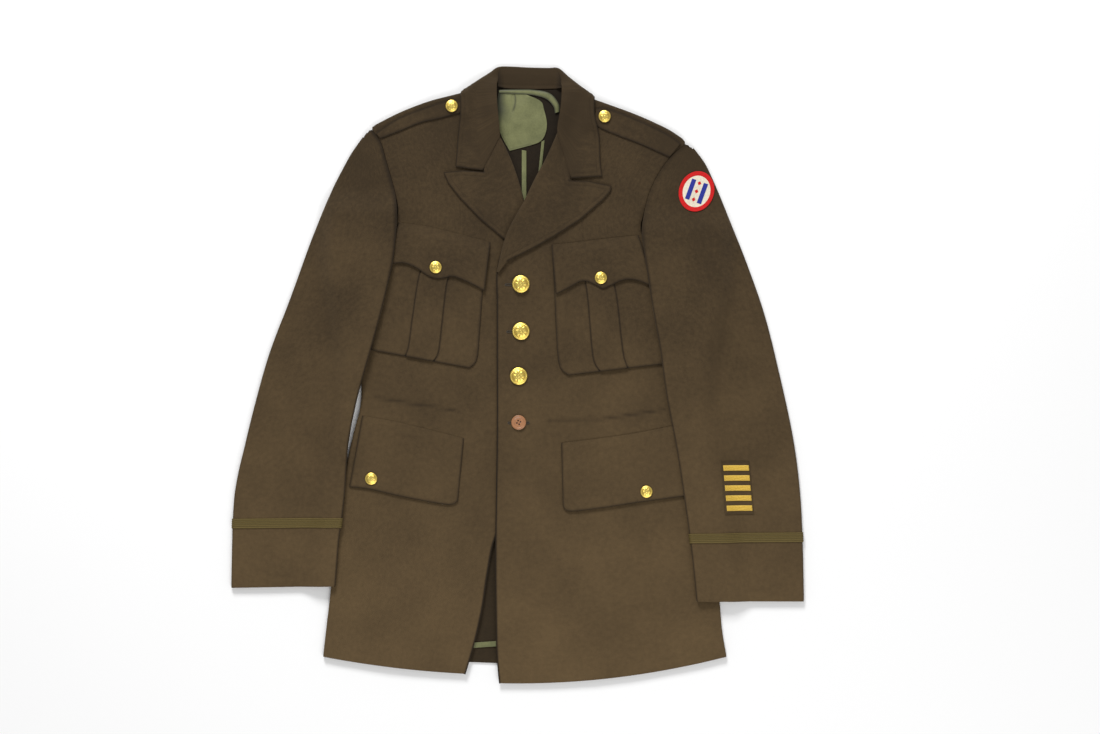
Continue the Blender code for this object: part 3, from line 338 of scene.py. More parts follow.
def woolMaterial(name, dark, light):
    made, nodes, shader = material(name, 0.92, Specular_IOR_Level=0.25, Sheen_Weight=0.12,
                                   Sheen_Roughness=0.5, Sheen_Tint=(0.62, 0.46, 0.30, 1))
    weave, across, lengthways, place = clothCoords(nodes)
    turn = 2 * math.pi / woolLook["ribPitch"]
    ribs = ((across * 0.79 + lengthways * 0.61) * turn).sine()
    floats = ((across * 0.61 - lengthways * 0.79) * (turn * 0.47)).sine()
    fuzz = weave.cloud(1.4, 3.0, 0.6)
    cloud = place.cloud(11.0, 4.0, 0.55)
    slub = weave.cloud(0.16, 5.0, 0.7)
    height = ribs * 0.5 + floats * 0.25 + fuzz * 1.1
    tone = (cloud - 0.5) * 0.8 + (slub - 0.5) * 0.7 + (fuzz - 0.5) * 0.6 + ribs * 0.06 + 0.375
    # painted light and shade: the tone falls with the height in y, so the cloth is darker at the collar and
    # lighter at the hem
    tone = (tone - place.part(1) * woolLook["fade"]).held()
    # painted shade: where the attribute named edge is high, at folds, under edges and in stitched grooves,
    # the cloth darkens to this colour
    colour = nodes.mark("edge").blend(tone.dyed(dark, light), (*woolLook["edge"], 1))
    join(nodes, shader, colour, None, height, woolLook["bump"], 0.00022)
    return made


def woolly(tint=1.0):
    return ([c * tint for c in woolLook["dark"]], [c * tint for c in woolLook["light"]])


print("materials")
wool = woolMaterial("wool", *woolly())
# a darker copy of the wool: painted shade for the inner faces of the back, seen through the neck opening
woolShadedInside = woolMaterial("woolShadedInside", *woolly(0.30))
woolBacking = woolMaterial("woolBacking", *woolly(0.8))

liningLook = {
    "dark": (0.080, 0.086, 0.030),
    "light": (0.190, 0.195, 0.078),
    # colour of the painted shade that the vertex attribute named edge blends in
    "edge": (0.020, 0.022, 0.009),
}


def liningMaterial():
    made, nodes, shader = material("lining", 0.5, Specular_IOR_Level=0.45, Sheen_Weight=0.2,
                                   Sheen_Roughness=0.4)
    weave, across, lengthways, place = clothCoords(nodes)
    threads = (lengthways * (2 * math.pi / 0.35)).sine() * 0.5 + (across * (2 * math.pi / 0.5)).sine() * 0.3
    cloud = place.cloud(34.0, 4.0, 0.6)
    slub = weave.cloud(0.5, 3.0)
    tone = ((cloud - 0.5) * 2.0 + (slub - 0.5) * 0.6 + threads * 0.06 + 0.5).held()
    colour = tone.dyed(liningLook["dark"], liningLook["light"])
    # painted shade: the lining darkens to this colour where the attribute named edge is high, under the
    # collar's fold, in the pleat and at stitched edges
    colour = nodes.mark("edge").blend(colour, (*liningLook["edge"], 1))
    join(nodes, shader, colour, 0.42 + cloud * 0.2, threads, 0.25, 0.0001)
    return made


lining = liningMaterial()

braidLook = {"dark": (0.050, 0.035, 0.009), "light": (0.165, 0.118, 0.032), "cords": 5, "width": 12.7}


def braidMaterial():
    made, nodes, shader = material("braid", 0.75, Specular_IOR_Level=0.3)
    weave, across, lengthways, _ = clothCoords(nodes)
    pitch = braidLook["width"] / braidLook["cords"]
    row = (lengthways * (math.pi / pitch)).sine().size()  # 0 in the grooves between the cords, where it darkens the colour as painted shade
    twist = ((across * 2.6 + lengthways * 2.2) * (2 * math.pi / 3.0)).sine() * 0.5 + 0.5
    cloud = weave.cloud(0.9, 4.0)
    # the grooves between the cords come out darker: painted shade
    tone = (row * 0.62 + twist * 0.22 + (cloud - 0.5) * 0.7).held()
    colour = tone.dyed(braidLook["dark"], braidLook["light"])
    join(nodes, shader, colour, None, twist + cloud * 0.6, 0.5, 0.0003)
    return made


braid = braidMaterial()

goldLook = {"dark": (0.36, 0.20, 0.015), "light": (0.90, 0.60, 0.085)}


def goldMaterial():
    made, nodes, shader = material("goldThread", 0.45, 0.1, Specular_IOR_Level=0.5)
    weave, across, lengthways, _ = clothCoords(nodes)
    wire = ((across + lengthways * 0.35) * (2 * math.pi / 1.1)).sine() * 0.5 + 0.5
    cloud = weave.cloud(0.8, 4.0)
    tone = (wire * 0.55 + (cloud - 0.5) * 1.3 + 0.35).held()
    colour = tone.dyed(goldLook["dark"], goldLook["light"])
    join(nodes, shader, colour, 0.36 + cloud * 0.25, wire, 0.7, 0.0003)
    return made


gold = goldMaterial()

brassLook = {"deep": (0.60, 0.36, 0.045), "high": (1.0, 0.78, 0.20)}


def brassMaterial():
    made, nodes, shader = material("brass", 0.26, 1.0, Specular_IOR_Level=0.5)
    relief = nodes.mark("relief")
    wear = nodes.node("ShaderNodeTexCoord", out=3).cloud(420.0, 4.0, 0.6)
    tone = (relief * 0.75 + (wear - 0.5) * 0.6 + 0.2).held()
    join(nodes, shader, tone.dyed(brassLook["deep"], brassLook["high"]), 0.42 - relief * 0.14 + wear * 0.1)
    return made


brass = brassMaterial()

hornLook = {"deep": (0.050, 0.016, 0.006), "high": (0.52, 0.235, 0.105)}


def hornMaterial():
    made, nodes, shader = material("horn", 0.32, Specular_IOR_Level=0.5, Coat_Weight=0.2)
    grain = nodes.node("ShaderNodeTexCoord", out=3).cloud(260.0, 5.0, twist=1.5)
    # painted shade: the sunk holes take the near-black deep colour
    tone = (nodes.mark("relief") * 1.3 + (grain - 0.5) * 0.7).held()
    join(nodes, shader, tone.dyed(hornLook["deep"], hornLook["high"]), 0.26 + grain * 0.16)
    return made


horn = hornMaterial()


def threadMaterial(name, dark, light):
    made, nodes, shader = material(name, 0.8, Sheen_Weight=0.2)
    ply = nodes.node("ShaderNodeTexCoord", out=3).cloud(1400.0)
    join(nodes, shader, ply.dyed(dark, light), None, ply, 0.5, 0.0001)
    return made


darkThread = threadMaterial("darkThread", (0.012, 0.008, 0.004), (0.040, 0.028, 0.014))


# Heights of the lying cloth

def lift(x, y):
    # the back rises at the neck, over the turned-down collar
    edge = 350 + 0.0024 * (x - 14) ** 2
    return coat["collarLift"] * smooth((y - edge + 70) / 64)


def ripple(x, y):
    return 0.30 * math.sin(x / 41 + y / 170 + 1.1) + 0.22 * math.sin(y / 62 - x / 95)


pads = {"centres": [(-180, 322), (208, 304)], "reach": (62, 52)}


def pad(x, y):
    wide, tall = pads["reach"]
    return coat["pad"] * sum(math.exp(-(((x - padX) / wide) ** 2 + ((y - padY) / tall) ** 2))
                             for padX, padY in pads["centres"])


underEdge = [(p[1], p[0]) for p in outline["frontEdge"]["right"] + outline["roll"]["right"][1:]]


def lapelBump(x, y):
    # 1 where the left front lies over the lower end of the right lapel
    inside = 0.677 * (x - 33) + 0.735 * (y - 133)
    return smooth((inside + 44) / 40) * smooth((lookup(underEdge, y) + 46 - x) / 38)


bodyFolds = [  # soft folds: middle x and y, direction of the crest in degrees, length, width, height
    (148, -245, 94, 170, 22, 0.9), (163, -110, 96, 130, 16, 0.6), (205, -250, 100, 190, 20, 0.7),
    (-150, -270, 80, 190, 26, 0.7), (-205, -290, 84, 150, 18, 0.6), (-95, -250, 76, 170, 22, 0.5),
    (90, -300, 92, 140, 30, 0.5), (30, -230, 90, 200, 24, 0.4), (-190, 10, 86, 120, 12, 0.6),
    (205, 0, 92, 130, 12, 0.6), (-100, 235, 40, 120, 18, 0.4), (120, 215, 140, 110, 16, 0.5),
    (-120, 300, 20, 90, 14, 0.5), (150, 290, 160, 90, 14, 0.5), (60, -30, 20, 110, 12, 0.5),
]


def folded(folds, x, y):
    total = 0.0
    for foldX, foldY, degrees, length, width, height in folds:
        angle = math.radians(degrees)
        lengthways = (x - foldX) * math.cos(angle) + (y - foldY) * math.sin(angle)
        sideways = (y - foldY) * math.cos(angle) - (x - foldX) * math.sin(angle)
        if abs(sideways) < width * 3:
            total += height * math.exp(-((lengthways / length * 2) ** 2) - (sideways / width) ** 2)
    return total


def soft(x, y):
    # what a pressed cloth keeps of its wearing: shallow hollows, larger and smaller
    large = noise.noise(Vector((x / 75, y / 95, 2.0)))
    small = noise.noise(Vector((x / 24, y / 30, 7.0)))
    return 0.42 * large + 0.13 * small + folded(bodyFolds, x, y)


@lru_cache(maxsize=None)
def frontTop(side, x, y):
    top = bodyHigh + lift(x, y) + ripple(x, y) + pad(x, y) + soft(x, y)
    if side == "left":
        top += (coat["front"] + 2 * coat["rest"]) * smooth((lookup(underEdge, y) + 45 - x) / 37)
        top += (coat["cloth"] + coat["lapelRest"] + coat["rest"]) * lapelBump(x, y)
    return top


# A cloth wall: a grid laid on its outer face, then extruded inwards by its thickness
rollDown = 0.55  # of an edge's rim

def cloth(name, across, down, face, thickness, finish, node, slotName, edges="", sewn=0.0, round_=0.5,
          inside=None, dark=None, free=None, shade=None):
    # across and down are the places of the grid's lines, and face(a, b) gives a point and the way it looks;
    # edges are rolled down and sewn at a distance, dark ones have shade at their foot, free(a, b) picks among
    # the border's points, shade(a, b) adds darkness, and inside is the finish of the inner face
    columns, rows = len(across) - 1, len(down) - 1
    bm = bmesh.new()
    bmesh.ops.create_grid(bm, x_segments=columns, y_segments=rows, size=0.5)
    # painted shade of each point, kept in the attribute named edge, which darkens the colour at folds, under
    # edges and in stitched grooves
    shadeLayer = bm.verts.layers.float.new("edge")
    weave = bm.loops.layers.uv.new("weave")
    grid = {(round((v.co.x + 0.5) * columns), round((v.co.y + 0.5) * rows)): v for v in bm.verts}
    looks = {}
    for (i, j), vert in grid.items():
        vert.co, looks[i, j] = face(across[i], down[j])
    u = measured([grid[i, rows // 2].co for i in range(columns + 1)])
    v = measured([grid[columns // 2, j].co for j in range(rows + 1)])
    places = {vert: (i, j) for (i, j), vert in grid.items()}
    for quad in bm.faces:
        for loop in quad.loops:
            i, j = places[loop.vert]
            loop[weave].uv = (u[i], v[j])
    darkness = {key: shade(across[key[0]], down[key[1]]) if shade else 0.0 for key in grid}
    if edges:
        border = [(key, vert) for key, vert in grid.items()
                  if not free or free(across[key[0]], down[key[1]])]
        rolled = edgeTree(border, columns, rows, edges)
        shaded = edgeTree(border, columns, rows, edges if dark is None else dark)
        for key, vert in grid.items():
            place = vert.co.copy()
            away = rolled.find(place)[2]
            drop = rollDown * math.exp(-(away / 1.3) ** 2)
            if sewn:
                drop += 0.34 * math.exp(-((away - sewn) / 0.75) ** 2)
                drop -= 0.12 * smooth(1 - abs(away - sewn * 0.5) / 3)
                # painted shade in the sunk groove of the stitching
                darkness[key] += 0.22 * math.exp(-((away - sewn) / 0.8) ** 2)
            # painted shadow at the foot of the dark edges
            if shaded:
                darkness[key] += 0.85 * math.exp(-(shaded.find(place)[2] / 1.35) ** 2)
            looks[key] = looks[key].normalized()
            vert.co -= looks[key] * drop
    for key, vert in grid.items():
        vert[shadeLayer] = min(1.0, darkness[key])
    inner = {}
    for key, vert in grid.items():
        inner[tuple(vert.co)] = vert.co - looks[key].normalized() * thickness
    made = bmesh.ops.extrude_face_region(bm, geom=bm.faces[:], use_keep_orig=True)
    for item in made["geom"]:
        if isinstance(item, bmesh.types.BMVert):
            item.co = inner[tuple(item.co)]
        elif isinstance(item, bmesh.types.BMFace) and inside:
            item.material_index = 1
    bmesh.ops.recalc_face_normals(bm, faces=bm.faces)
    made = addPiece(name, bm, finish, node, slotName)
    if inside:
        made.data.materials.append(inside)
    if round_:
        rim = made.modifiers.new("rim", "BEVEL")
        rim.width, rim.segments = round_ * metre, 2
        rim.limit_method, rim.angle_limit = "ANGLE", math.radians(50)
    return made


def measured(points):
    total = [0.0]
    for a, b in zip(points, points[1:]):
        total.append(total[-1] + (b - a).length)
    return total


def edgeTree(border, columns, rows, edges):
    # the border's points on the named sides: l, r, t and b
    found = []
    for (i, j), vert in border:
        if ("l" in edges and i == 0) or ("r" in edges and i == columns) \
                or ("b" in edges and j == 0) or ("t" in edges and j == rows):
            found.append(vert.co.copy())
    if not found:
        return None
    tree = kdtree.KDTree(len(found))
    for index, point in enumerate(found):
        tree.insert(point, index)
    tree.balance()
    return tree


def addPiece(name, bm, finish, node, slotName, sharp=40):
    bmesh.ops.translate(bm, vec=middle, verts=bm.verts)
    bmesh.ops.scale(bm, vec=(metre,) * 3, verts=bm.verts)
    mesh = bpy.data.meshes.new(name)
    bm.to_mesh(mesh)
    bm.free()
    mesh.shade_smooth()
    mesh.set_sharp_from_angle(angle=math.radians(sharp))
    obj = bpy.data.objects.new(name, mesh)
    bpy.context.scene.collection.objects.link(obj)
    mesh.materials.append(finish)
    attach(obj, "root")
    if node:
        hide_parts(*([node] if isinstance(node, str) else node))
    return obj


# Body: the fronts and the two halves of the back
print("body")

foldLength = bodyHigh / 2 * math.pi / 2 - 0.35
foldRadius = foldLength / coat["foldTurn"]
foldFall = foldRadius * (1 - math.cos(coat["foldTurn"]))


@lru_cache(maxsize=None)
def outerRows(side, which):
    if which == "front":
        arm = curve(outline["armHidden"][side], hiddenRows) + curve(outline["armSeam"][side], seamRows)[1:]
    else:
        arm = curve(outline["armBack"][side], hiddenRows + seamRows)
    rows = curve(outline["side"][side], bodyRows[side]) + arm[1:]
    rows[-1] = rows[-1] - Vector((0, foldRadius))
    return rows


def sideTurn(row, rowsBelow):
    return mix(coat["foldTurn"], coat["seamTurn"], smooth((row - rowsBelow + 0.8) / 1.6))


def foldUp(side, share):
    # how far the front's edge turns up where it passes into its lapel and collar
    low, high = (0.52, 0.74) if side == "right" else (0.1, 0.5)
    risen = smooth((share - low) / (high - low)) * (1 - 0.85 * smooth((share - 0.86) / 0.12))
    return math.radians(84) * risen


rollLength = 3.4

waist = {  # a faint seam across each front: its ends, x and y
    "right": [(-189, -28), (-130, -38), (-82, -45)],
    "left": [(38, -58), (110, -57), (195, -44)],
}


def waistAway(side, x, y):
    # distance from the seam, and 0 beyond its ends to 1 along it
    points = waist[side]
    ends = smooth((x - points[0][0] + 3) / 6) * smooth((points[-1][0] + 3 - x) / 6)
    return y - lookup(points, x), ends


def waistSeam(side, x, y):
    away, ends = waistAway(side, x, y)
    return (0.85 * math.exp(-(away / 1.8) ** 2) - 0.30 * math.exp(-((away - 5) / 3.5) ** 2)) * ends


def front(side):
    steps, turnAll = coat["foldSteps"], coat["foldTurn"]
    outer = outerRows(side, "front")
    rows, lowRows = len(outer) - 1, bodyRows[side]
    edge = (curve(outline["frontEdge"][side], lowRows) + curve(outline["roll"][side], 6)[1:]
            + curve(outline["neckSide"][side], 2)[1:])
    shoulder = curve(outline["shoulder"][side], 8)

    @lru_cache(maxsize=None)
    def ends(row):
        share = row / rows
        turn = sideTurn(row, lowRows)
        left, right = along(outer, share), along(edge, share)
        out, neck = outward(outer, share, way[side]), outward(edge, share, -way[side])
        reach, _ = curl(1, foldLength, turn)
        upTurn = foldUp(side, max(0.0, (row - lowRows) / (rows - lowRows)))
        upReach, _ = curl(1, rollLength, upTurn)
        left = left - out * reach
        right = right - neck * (upReach + coat["front"] * math.sin(upTurn))
        return share, turn, left, right, out, neck, upTurn

    def face(a, b):  # a runs -1 to 0 over the side fold, to 1 across, and to 2 over the turned-up edge
        share, turn, left, right, out, neck, upTurn = ends(min(b, rows))
        across = min(1.0, max(0.0, a))
        point = left.lerp(right, across)
        point.y += hemBow[side] * 4 * across * (1 - across) * smooth(1 - share * 4)
        bow = along(shoulder, across) - shoulder[0].lerp(shoulder[-1], across)
        point += (bow - Vector((0, foldRadius * across))) * smooth((share - 0.8) / 0.2)
        overTop, overSide, upEdge = max(0, b - rows) / steps, max(0, -a), max(0, a - 1)
        topReach, topFall = curl(overTop, foldLength, turnAll)
        sideReach, fall = curl(overSide, foldLength, turn)
        edgeReach, rise = curl(upEdge, rollLength, upTurn)
        point += out * sideReach + neck * edgeReach
        looks = facing((out, turn * overSide), (-neck, upTurn * upEdge), (Vector((0, 1)), turnAll * overTop))
        point.y += topReach
        height = frontTop(side, point.x, point.y)
        meets = bodyHigh / 2 + (0.8 if b > rows else 0.5) + lift(point.x, point.y) * 1.1
        fallen = 1 - (1 - fall / foldFall) * (1 - topFall / foldFall)
        height -= waistSeam(side, point.x, point.y)
        return Vector((point.x, point.y, mix(height, meets, fallen) + rise)), looks

    # painted shade over the turned-up front edge, and along the sunk waist seam
    def shade(a, b):
        spot = face(a, b)[0]
        away, ends = waistAway(side, spot.x, spot.y)
        return 0.95 * smooth((a - 1.05) / 0.7) + 0.5 * ends * math.exp(-(away / 1.8) ** 2)

    across = foldLines + lines(270, 3.6, (), cuffLines + (5.6,)) + [1.34, 1.67, 2]
    down = [place * rows for place in lines(780, 3.6, cuffLines)] + [rows + over for over in topLines]
    made = cloth("front" + side.title(), across, down, face, coat["front"], wool, "front_" + side, "wool",
                 "b", dark="", shade=shade)
    "back" + side.title()


backSeam = [(9, -380), (12, -100), (16, 200), (18, 320), (17, 377.5)]
backNeck = {
    "right": [(-32, 384), (-22, 380), (-8, 377.5), (17, 377.5)],
    "left": [(64, 377), (54, 377.5), (42, 377.5), (17, 377.5)],
}


def back(side, cut):
    steps = coat["foldSteps"]
    outer = outerRows(side, "back")
    rows = len(outer) - 1
    seam = [p - Vector((0.1 * way[side], 0)) for p in curve(backSeam, rows)]
    top = curve(outline["shoulder"][side], 4) + curve(backNeck[side], 2)[1:]

    @lru_cache(maxsize=None)
    def ends(row):
        share = row / rows
        turn = sideTurn(row, bodyRows[side])
        out = outward(outer, share, way[side])
        reach, _ = curl(1, foldLength, turn)
        return share, turn, out, along(outer, share) - out * reach, along(seam, share)

    def face(a, b):
        share, turn, out, left, right = ends(min(b, rows))
        across = min(1.0, max(0.0, a))
        point = left.lerp(right, across)
        bow = along(top, across) - top[0].lerp(top[-1], across)
        atShoulder = smooth((4.6 - across * 6) / 0.8)
        lower = mix(2.0, foldRadius * across, atShoulder)
        point += (bow - Vector((0, lower))) * smooth((share - 0.8) / 0.2)
        overTop, overSide = max(0, b - rows) / steps, max(0, -a)
        sideReach, rise = curl(overSide, foldLength, turn)
        topTurn = coat["foldTurn"] * atShoulder
        topReach, topRise = curl(overTop, mix(2.0, foldLength, atShoulder), topTurn)
        point += out * sideReach + Vector((0, topReach))
        looks = facing((out, turn * overSide), (Vector((0, 1)), topTurn * overTop))
        looks.z *= -1
        return Vector((point.x, point.y, lift(point.x, point.y) + (rise + topRise) * 0.95)), looks

    across = foldLines + lines(250, 8, (), (1.2, 3))
    down = [place * rows for place in lines(770, 8, cuffLines)] + [rows + over for over in topLines]
    # the inner faces take the darker copy of the wool as painted shade
    made = cloth("back" + side.title(), across, down, face, coat["cloth"], wool, "back_" + side, "wool",
                 inside=woolShadedInside)


# Sleeves
print("sleeves")

sleeveOuter = {  # from the cuff to the shoulder tip
    "right": [(-378, -279), (-376, -190), (-372, -144), (-363, -104), (-347, -38), (-327, 32), (-301, 100),
              (-272, 180), (-246, 243), (-226, 282), (-211, 307.5), (-204.5, 315)],
    "left": [(377, -297), (375, -210), (371, -144), (362, -78), (345, 1), (325, 81), (301, 150), (280, 203),
             (260, 252), (245, 283), (238, 293.5), (231.5, 300.5)],
}
sleeveInner = {  # the free fold, from the cuff to where the armhole seam comes out
    "right": [(-240, -277), (-235, -216), (-230, -180), (-226, -140), (-224, -100), (-216, -51), (-206, -12),
              (-193, 34), (-182, 74), (-172, 114), (-164, 150), (-160, 186), (-158.4, 212)],
    "left": [(235, -297), (228, -230), (219, -164), (209, -98), (195, -25), (187, 34), (181, 67), (173, 114),
             (168, 150), (163, 176), (162.4, 189)],
}
underarm = {  # the under sleeve's top edge, from the free fold to the underarm
    "right": [(-176, 97), (-196, 112), (-231, 136)],
    "left": [(176, 94), (205, 104), (252, 122)],
}
sleeveCover = {  # what lies under a sleeve, as the height added to the front at each y
    "right": [(-300, 0.6), (-170, 2.6), (-60, 2.6), (0, 6.8), (230, 6.8)],
    "left": [(-320, 0.6), (-200, 2.6), (-70, 3.2), (-10, 7.2), (220, 7.2)],
}
rampStart, rampLength = 10.0, 34.0  # the slope from the body's side to the floor
freeRows, rowShare = 16, 0.05  # rows from the cuff to the armhole, and what each takes of the outer fold
tipBow = 1.5  # how far the shoulder tip is rounded out
seamShade = {"right": 0.8, "left": 0.3}  # of the armhole's seam, against the free fold below it
sleeveEnds = {  # y over which each layer leaves the front and comes down beside it
    "right": {"under": (124, 152), "top": (211, 250)},
    "left": {"under": (108, 136), "top": (188, 228)},
}
sleeveFolds = {  # middle x and y, direction of the crest in degrees, length, width, height
    "right": [(-252, -60, 82, 150, 15, 0.7), (-322, -120, 78, 110, 14, 0.6), (-225, 120, 70, 120, 20, 0.7),
              (-300, -40, 80, 150, 10, 0.5), (-278, -120, 86, 110, 9, 0.5), (-340, -40, 76, 160, 12, 0.6),
              (-232, 210, 62, 110, 12, 0.6), (-270, 60, 72, 130, 14, 0.5), (-205, 250, 50, 70, 9, 0.6),
              (-300, -225, 90, 90, 22, 0.5)],
    "left": [(262, -60, 104, 160, 17, 0.7), (224, 236, 62, 50, 9, 1.6), (262, 95, 108, 130, 26, 1.7),
             (300, 40, 108, 150, 12, 0.6), (330, -60, 100, 160, 12, 0.6), (240, 20, 104, 120, 10, 0.5),
             (215, 190, 118, 80, 10, 0.7), (290, -240, 92, 90, 20, 0.5), (345, -190, 94, 110, 12, 0.5)],
}
sleeveFoldLength = sleeveHigh / 2 * math.pi / 2 - 0.35
sideLine = {side: sorted((p[1], p[0]) for p in outline["side"][side]) for side in way}


def overBody(side, x, y, lowEnd, highEnd):
    # height of whatever a sleeve rests on: the body's front, and a slope from its side to the floor
    away = (x - lookup(sideLine[side], y)) * way[side]
    slope = 1 - smooth((away - rampStart) / rampLength)
    if slope <= 0 or y >= highEnd:
        return 0.0
    cover = frontTop("right", x, y) + lookup(sleeveCover[side], y, True) + coat["rest"]
    return cover * slope * smooth((highEnd - y) / (highEnd - lowEnd))


def sleeveHeight(side, x, y):
    lowEnd, highEnd = sleeveEnds[side]["top"]
    joined = smooth((y - lowEnd) / (highEnd - lowEnd))
    flush = (bodyHigh - sleeveHigh) + pad(x, y) + ripple(x, y) * 0.5 + soft(x, y) * 0.5
    large = noise.noise(Vector((x / 60, y / 110, 12.0))) * 0.45
    small = noise.noise(Vector((x / 20, y / 34, 5.0))) * 0.14
    return sleeveHigh + overBody(side, x, y, lowEnd, highEnd) + flush * joined + large + small


def tipSize(share):
    # the folds get smaller towards the shoulder tip
    return 1 - 0.25 * smooth((share - 0.85) / 0.15)


def tipShut(share):
    # how far each layer closes on the other at the tip
    return (coat["hollow"] - coat["seam"]) / 2 * smooth((share - 0.93) / 0.07)


@lru_cache(maxsize=None)
def sleeveTopFace(side):
    turnAll = coat["foldTurn"]
    outerLine, innerLine = curve(sleeveOuter[side], 60), curve(sleeveInner[side], 40)
    seam = [p + Vector((coat["seam"] * way[side], 0)) for p in outerRows(side, "front")[-seamRows - 1:]]
    inner = [along(innerLine, i / freeRows) for i in range(freeRows + 1)] + seam[1:]
    rows = len(inner) - 1
    outer = [along(outerLine, rowShare * i) for i in range(freeRows + 1)]
    outer += [along(outerLine, mix(rowShare * freeRows, 1, (i + 1) / seamRows)) for i in range(seamRows)]
    high, low = sleeveEnds[side]["top"][0], sleeveEnds[side]["under"][0]

    @lru_cache(maxsize=None)
    def ends(b):
        share = b / rows
        left, right = along(outer, share), along(inner, share)
        out, into = outward(outer, share, way[side]), outward(inner, share, -way[side])
        turn = mix(turnAll, coat["seamTurn"], smooth((b - freeRows + 1.2) / 2))
        tuck = smooth((right.y - low + 10) / 24)
        innerLength = sleeveFoldLength * (1 + 0.6 * tuck)
        tip = tipSize(share)
        outerLength = sleeveFoldLength * tip
        left = left - out * curl(1, outerLength, turnAll)[0]
        right = right - into * curl(1, innerLength, turn)[0] * tip
        return share, left, right, out, into, turn, tuck, innerLength, outerLength, tip

    def face(a, b):  # a runs -1 to 0 over the outer fold, to 1 across, and to 2 over the inner one
        share, left, right, out, into, turn, tuck, innerLength, outerLength, tip = ends(b)
        shut = tipShut(share)
        across = min(1.0, max(0.0, a))
        point = left.lerp(right, across)
        crown = Vector((left.y - right.y, right.x - left.x)).normalized() * -way[side]
        point += crown * tipBow * smooth(min(across, 1 - across) / 0.25) * smooth((share - 0.9) / 0.1)
        folds = folded(sleeveFolds[side], point.x, point.y) * smooth(min(across, 1 - across) / 0.2)
        overOut, overIn = max(0, -a), max(0, a - 1)
        outReach, outFall = curl(overOut, outerLength, turnAll)
        inReach, inFall = curl(overIn, innerLength, turn)
        point += out * outReach + into * inReach * tip
        looks = facing((out, turnAll * overOut), (into, turn * overIn))
        height = sleeveHeight(side, point.x, point.y) + folds
        meets = overBody(side, point.x, point.y, *sleeveEnds[side]["under"]) + sleeveHigh / 2 + 0.5
        if a > 0:
            covered = lookup(sleeveCover[side], point.y, True) * (1 - smooth((point.y - high + 28) / 25))
            over = frontTop("right", point.x, point.y) + covered + coat["rest"] + coat["cloth"] + 0.4
            meets = mix(meets, over, tuck)
        length = outerLength if a < 0 else innerLength * tip
        height = mix(height - shut, meets, (outFall + inFall) / curl(1, length, turnAll)[1])
        return Vector((point.x, point.y, height)), looks

    return face, rows


def sleeveTop(side):
    face, rows = sleeveTopFace(side)

    def shade(a, b):  # under the inner fold, less along the armhole's seam, and a little at the outer fold
        seamed = mix(1, seamShade[side], smooth((b - freeRows + 2) / 4))
        return 0.9 * smooth((a - 1.1) / 0.8) * seamed + 0.3 * smooth(-a)

    across = foldLines + lines(130, 3.2) + farFoldLines
    down = [place * rows for place in lines(640, 3.2, cuffLines)]
    made = cloth(f"sleeve{side.title()}Top", across, down, face, coat["cloth"], wool, f"sleeve_{side}_top",
                 "wool", "b", dark="", shade=shade)


def sleeveUnder(side):
    turnAll = coat["foldTurn"]
    outerLine, innerLine = curve(sleeveOuter[side], 60), curve(sleeveInner[side], 40)
    lowRows = 12
    crossing = curve(underarm[side], 2)
    armhole = outerRows(side, "back")[-hiddenRows - seamRows:]
    armhole = [p + Vector(((coat["seam"] + 0.3) * way[side], 0)) for p in armhole]
    inner = [along(innerLine, i / freeRows) for i in range(lowRows + 1)] + crossing + armhole
    rows = len(inner) - 1
    highRows = rows - lowRows
    outer = [along(outerLine, rowShare * i) for i in range(lowRows + 1)]
    outer += [along(outerLine, mix(rowShare * lowRows, 1, (i + 1) / highRows)) for i in range(highRows)]
    lowEnd, highEnd = sleeveEnds[side]["under"]

    def straight(points, share):  # the underarm has sharp corners, so nothing is rounded here
        place = share * (len(points) - 1)
        first = min(int(place), len(points) - 2)
        return points[first].lerp(points[first + 1], place - first)

    @lru_cache(maxsize=None)
    def ends(b):
        share = b / rows
        left, right = straight(outer, share), straight(inner, share)
        out, into = outward(outer, share, way[side]), outward(inner, share, -way[side])
        turn = mix(turnAll, math.radians(4), smooth((b - lowRows + 1.5) / 1.5))
        tip = tipSize(share)
        outerLength = sleeveFoldLength * tip
        left = left - out * curl(1, outerLength, turnAll)[0]
        right = right - into * curl(1, sleeveFoldLength, turn)[0] * tip
        return share, left, right, out, into, turn, tip, outerLength

    def face(a, b):
        share, left, right, out, into, turn, tip, outerLength = ends(b)
        shut = tipShut(share)
        across = min(1.0, max(0.0, a))
        point = left.lerp(right, across)
        overOut, overIn = max(0, -a), max(0, a - 1)
        outReach, outRise = curl(overOut, outerLength, turnAll)
        inReach, inRise = curl(overIn, sleeveFoldLength, turn)
        point += out * outReach + into * inReach * tip
        looks = facing((out, turnAll * overOut), (into, turn * overIn))
        looks.z *= -1
        ground = overBody(side, point.x, point.y, lowEnd, highEnd)
        length = outerLength if a < 0 else sleeveFoldLength * tip
        risen = (outRise + inRise) / curl(1, length, turnAll)[1]
        return Vector((point.x, point.y, mix(ground + shut, ground + sleeveHigh / 2 - 0.4, risen))), looks

    across = foldLines + lines(130, 8) + farFoldLines
    down = [place * rows for place in lines(640, 6, cuffLines)]
    name = f"sleeve{side.title()}Under"
    made = cloth(name, across, down, face, coat["cloth"], wool, f"sleeve_{side}_under", "wool")
    "front" + side.title()


for side, cuts in {
    "right": [(0.30, 0.80, 0.1605), (0.27, 0.79, 0.1732), (0.18, 0.64, 0.0752), (0.18, 0.62, 0.0678)],
    "left": [(0.31, 0.80, 0.1856), (0.27, 0.79, 0.1654), (0.18, 0.64, 0.0847), (0.18, 0.62, 0.0748)],
}.items():
    front(side)
    back(side, cuts[1])
    sleeveTop(side)
    sleeveUnder(side)


# Lapels and collar
print("lapels and collar")

